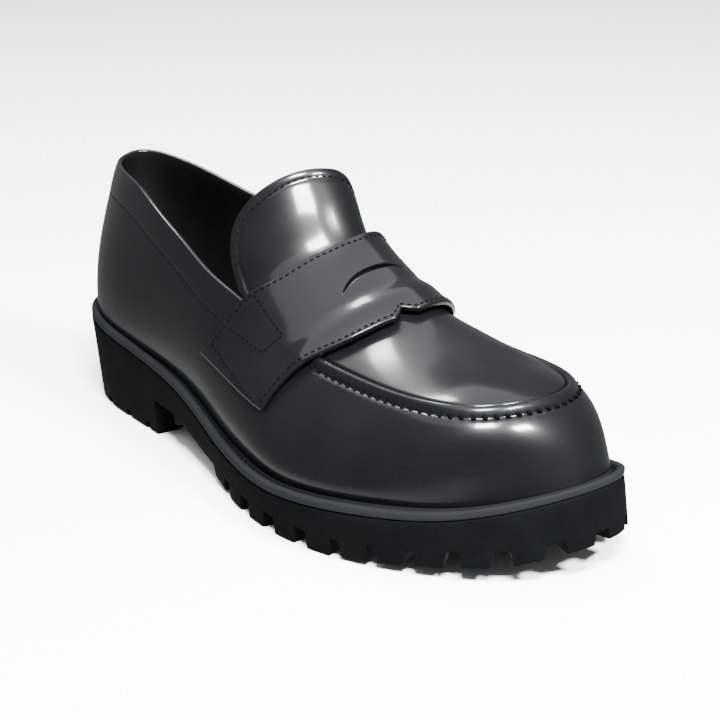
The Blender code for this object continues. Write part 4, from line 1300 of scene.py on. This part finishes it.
def strap_stitches():
    """Lines along both edges of the strap and round the box and lower edges of its wings."""
    lines = list(STRAP_ROWS)
    for corners in (WING_BOX, WING_EDGE):
        for start, end in zip(corners[:-1], corners[1:]):
            lines.append((start, end))
            lines.append(((start[0], 4 - start[1]), (end[0], 4 - end[1])))
    return [stitch_points(*strap_path(start, end), STRAP_STITCH) for start, end in lines]


# Floor, light and camera

FLOOR_SIZE = 30.0
SUN_ENERGY = 4.3
SUN_ANGLE = 80
SUN_TILT = -8

# Softboxes that face the shoe: name, azimuth, elevation, distance, size and power.
# Azimuth 0 is over the heel, and 90 over the medial side
SOFTBOXES = (
    ("key", 213, 56, 1.3, (0.42, 0.24), 150),
    ("toe_light", 172, 43, 1.3, (0.28, 0.12), 84),
    ("heel_light", 18, 57, 1.3, (0.2, 0.2), 14),
)

# Strength of the surround, from below the shoe to its sides and above it
SURROUND = {"From Min": -0.5, "From Max": -0.3, "To Min": 3.4, "To Max": 0.4}
LENS = 84.0
SENSOR = 36.0
CAMERA_PLACE = Vector((-0.41820, -0.49571, 0.26462))
CAMERA_AIM = Vector((0.017, -0.011, 0.044))
LIGHT_AIM = Vector((0, 0, 0.06))


def set_floor():
    """Wide pale floor that isn't part of the shoe, and that the polish doesn't mirror."""
    half = FLOOR_SIZE / 2
    data = bpy.data.meshes.new("floor")
    corners = [(-half, -half, 0), (half, -half, 0), (half, half, 0), (-half, half, 0)]
    data.from_pydata(corners, [], [(0, 1, 2, 3)])
    finish = Finish("pale_floor", Base_Color=(0.9, 0.9, 0.9, 1), Roughness=0.9)
    data.materials.append(finish.material)
    floor = bpy.data.objects.new("floor", data)
    bpy.context.scene.collection.objects.link(floor)
    floor.visible_glossy = False


def softbox(name, azimuth, elevation, distance, size, power):
    """Area light that faces the shoe."""
    around, up = math.radians(azimuth), math.radians(elevation)
    flat = math.cos(up)
    away = Vector((math.sin(around) * flat, math.cos(around) * flat, math.sin(up)))
    place = LIGHT_AIM + distance * away
    light = bpy.data.lights.new(name, "AREA")
    light.shape = "RECTANGLE"
    light.size, light.size_y = size
    light.energy = power
    lamp = bpy.data.objects.new(name, light)
    lamp.location = place
    lamp.rotation_euler = (LIGHT_AIM - place).to_track_quat("-Z", "Y").to_euler()
    bpy.context.scene.collection.objects.link(lamp)


def set_lights():
    """Wide soft sun overhead, three softboxes, and a surround that is dim but for its part below."""
    surround = bpy.data.worlds.new("surround")
    surround.use_nodes = True
    background = surround.node_tree.nodes["Background"]
    background.inputs["Color"].default_value = (1, 1, 1, 1)
    nodes, links = surround.node_tree.nodes, surround.node_tree.links
    height = nodes.new("ShaderNodeSeparateXYZ")
    links.new(nodes.new("ShaderNodeTexCoord").outputs["Generated"], height.inputs[0])
    level = nodes.new("ShaderNodeMapRange")
    level.interpolation_type = "SMOOTHSTEP"
    for socket, value in SURROUND.items():
        level.inputs[socket].default_value = value
    links.new(height.outputs["Z"], level.inputs["Value"])
    links.new(level.outputs[0], background.inputs["Strength"])
    bpy.context.scene.world = surround
    sky = bpy.data.lights.new("overhead", "SUN")
    sky.energy = SUN_ENERGY
    sky.angle = math.radians(SUN_ANGLE)
    lamp = bpy.data.objects.new("overhead", sky)
    lamp.rotation_euler = (math.radians(SUN_TILT), 0, 0)
    bpy.context.scene.collection.objects.link(lamp)
    for box in SOFTBOXES:
        softbox(*box)


def set_camera():
    """Camera at the photograph's viewing angle."""
    camera = bpy.data.cameras.new("camera")
    camera.lens = LENS
    camera.sensor_width = SENSOR
    viewer = bpy.data.objects.new("camera", camera)
    viewer.location = CAMERA_PLACE
    viewer.rotation_euler = (CAMERA_AIM - CAMERA_PLACE).to_track_quat("-Z", "Y").to_euler()
    bpy.context.scene.collection.objects.link(viewer)
    bpy.context.scene.camera = viewer


SOLE_BLACK, SOLE_GREY = (0.0007, 0.0007, 0.0008), (0.0022, 0.0022, 0.0024)
WELT_BLACK, WELT_GREY = (0.0045, 0.0045, 0.0048), (0.0075, 0.0075, 0.008)


def dress():
    """Build every visible piece with its finish."""
    leather = polished_leather()
    lining = lining_leather()
    fine_thread = waxed_thread()
    build_outsole(rubber("sole_rubber", SOLE_BLACK, SOLE_GREY, roughness=0.65))
    build_welt(rubber("welt_rubber", WELT_BLACK, WELT_GREY, roughness=0.5))
    build_insole(lining)
    build_upper(leather, lining)
    build_strap(leather)
    build_tongue(leather)
    sew("welt_stitches", welt_stitches(), fine_thread, "welt")
    sew("collar_stitches", collar_stitches(), fine_thread, "upper")
    sew("apron_stitches", apron_stitches(), fine_thread, "upper")
    sew("gathered_stitches", gathered_stitches(), fine_thread, "upper")
    sew("strap_stitches", strap_stitches(), fine_thread, "strap")
    sew("tongue_stitches", tongue_stitches(), fine_thread, "tongue")


set_floor()
set_lights()
set_camera()
dress()
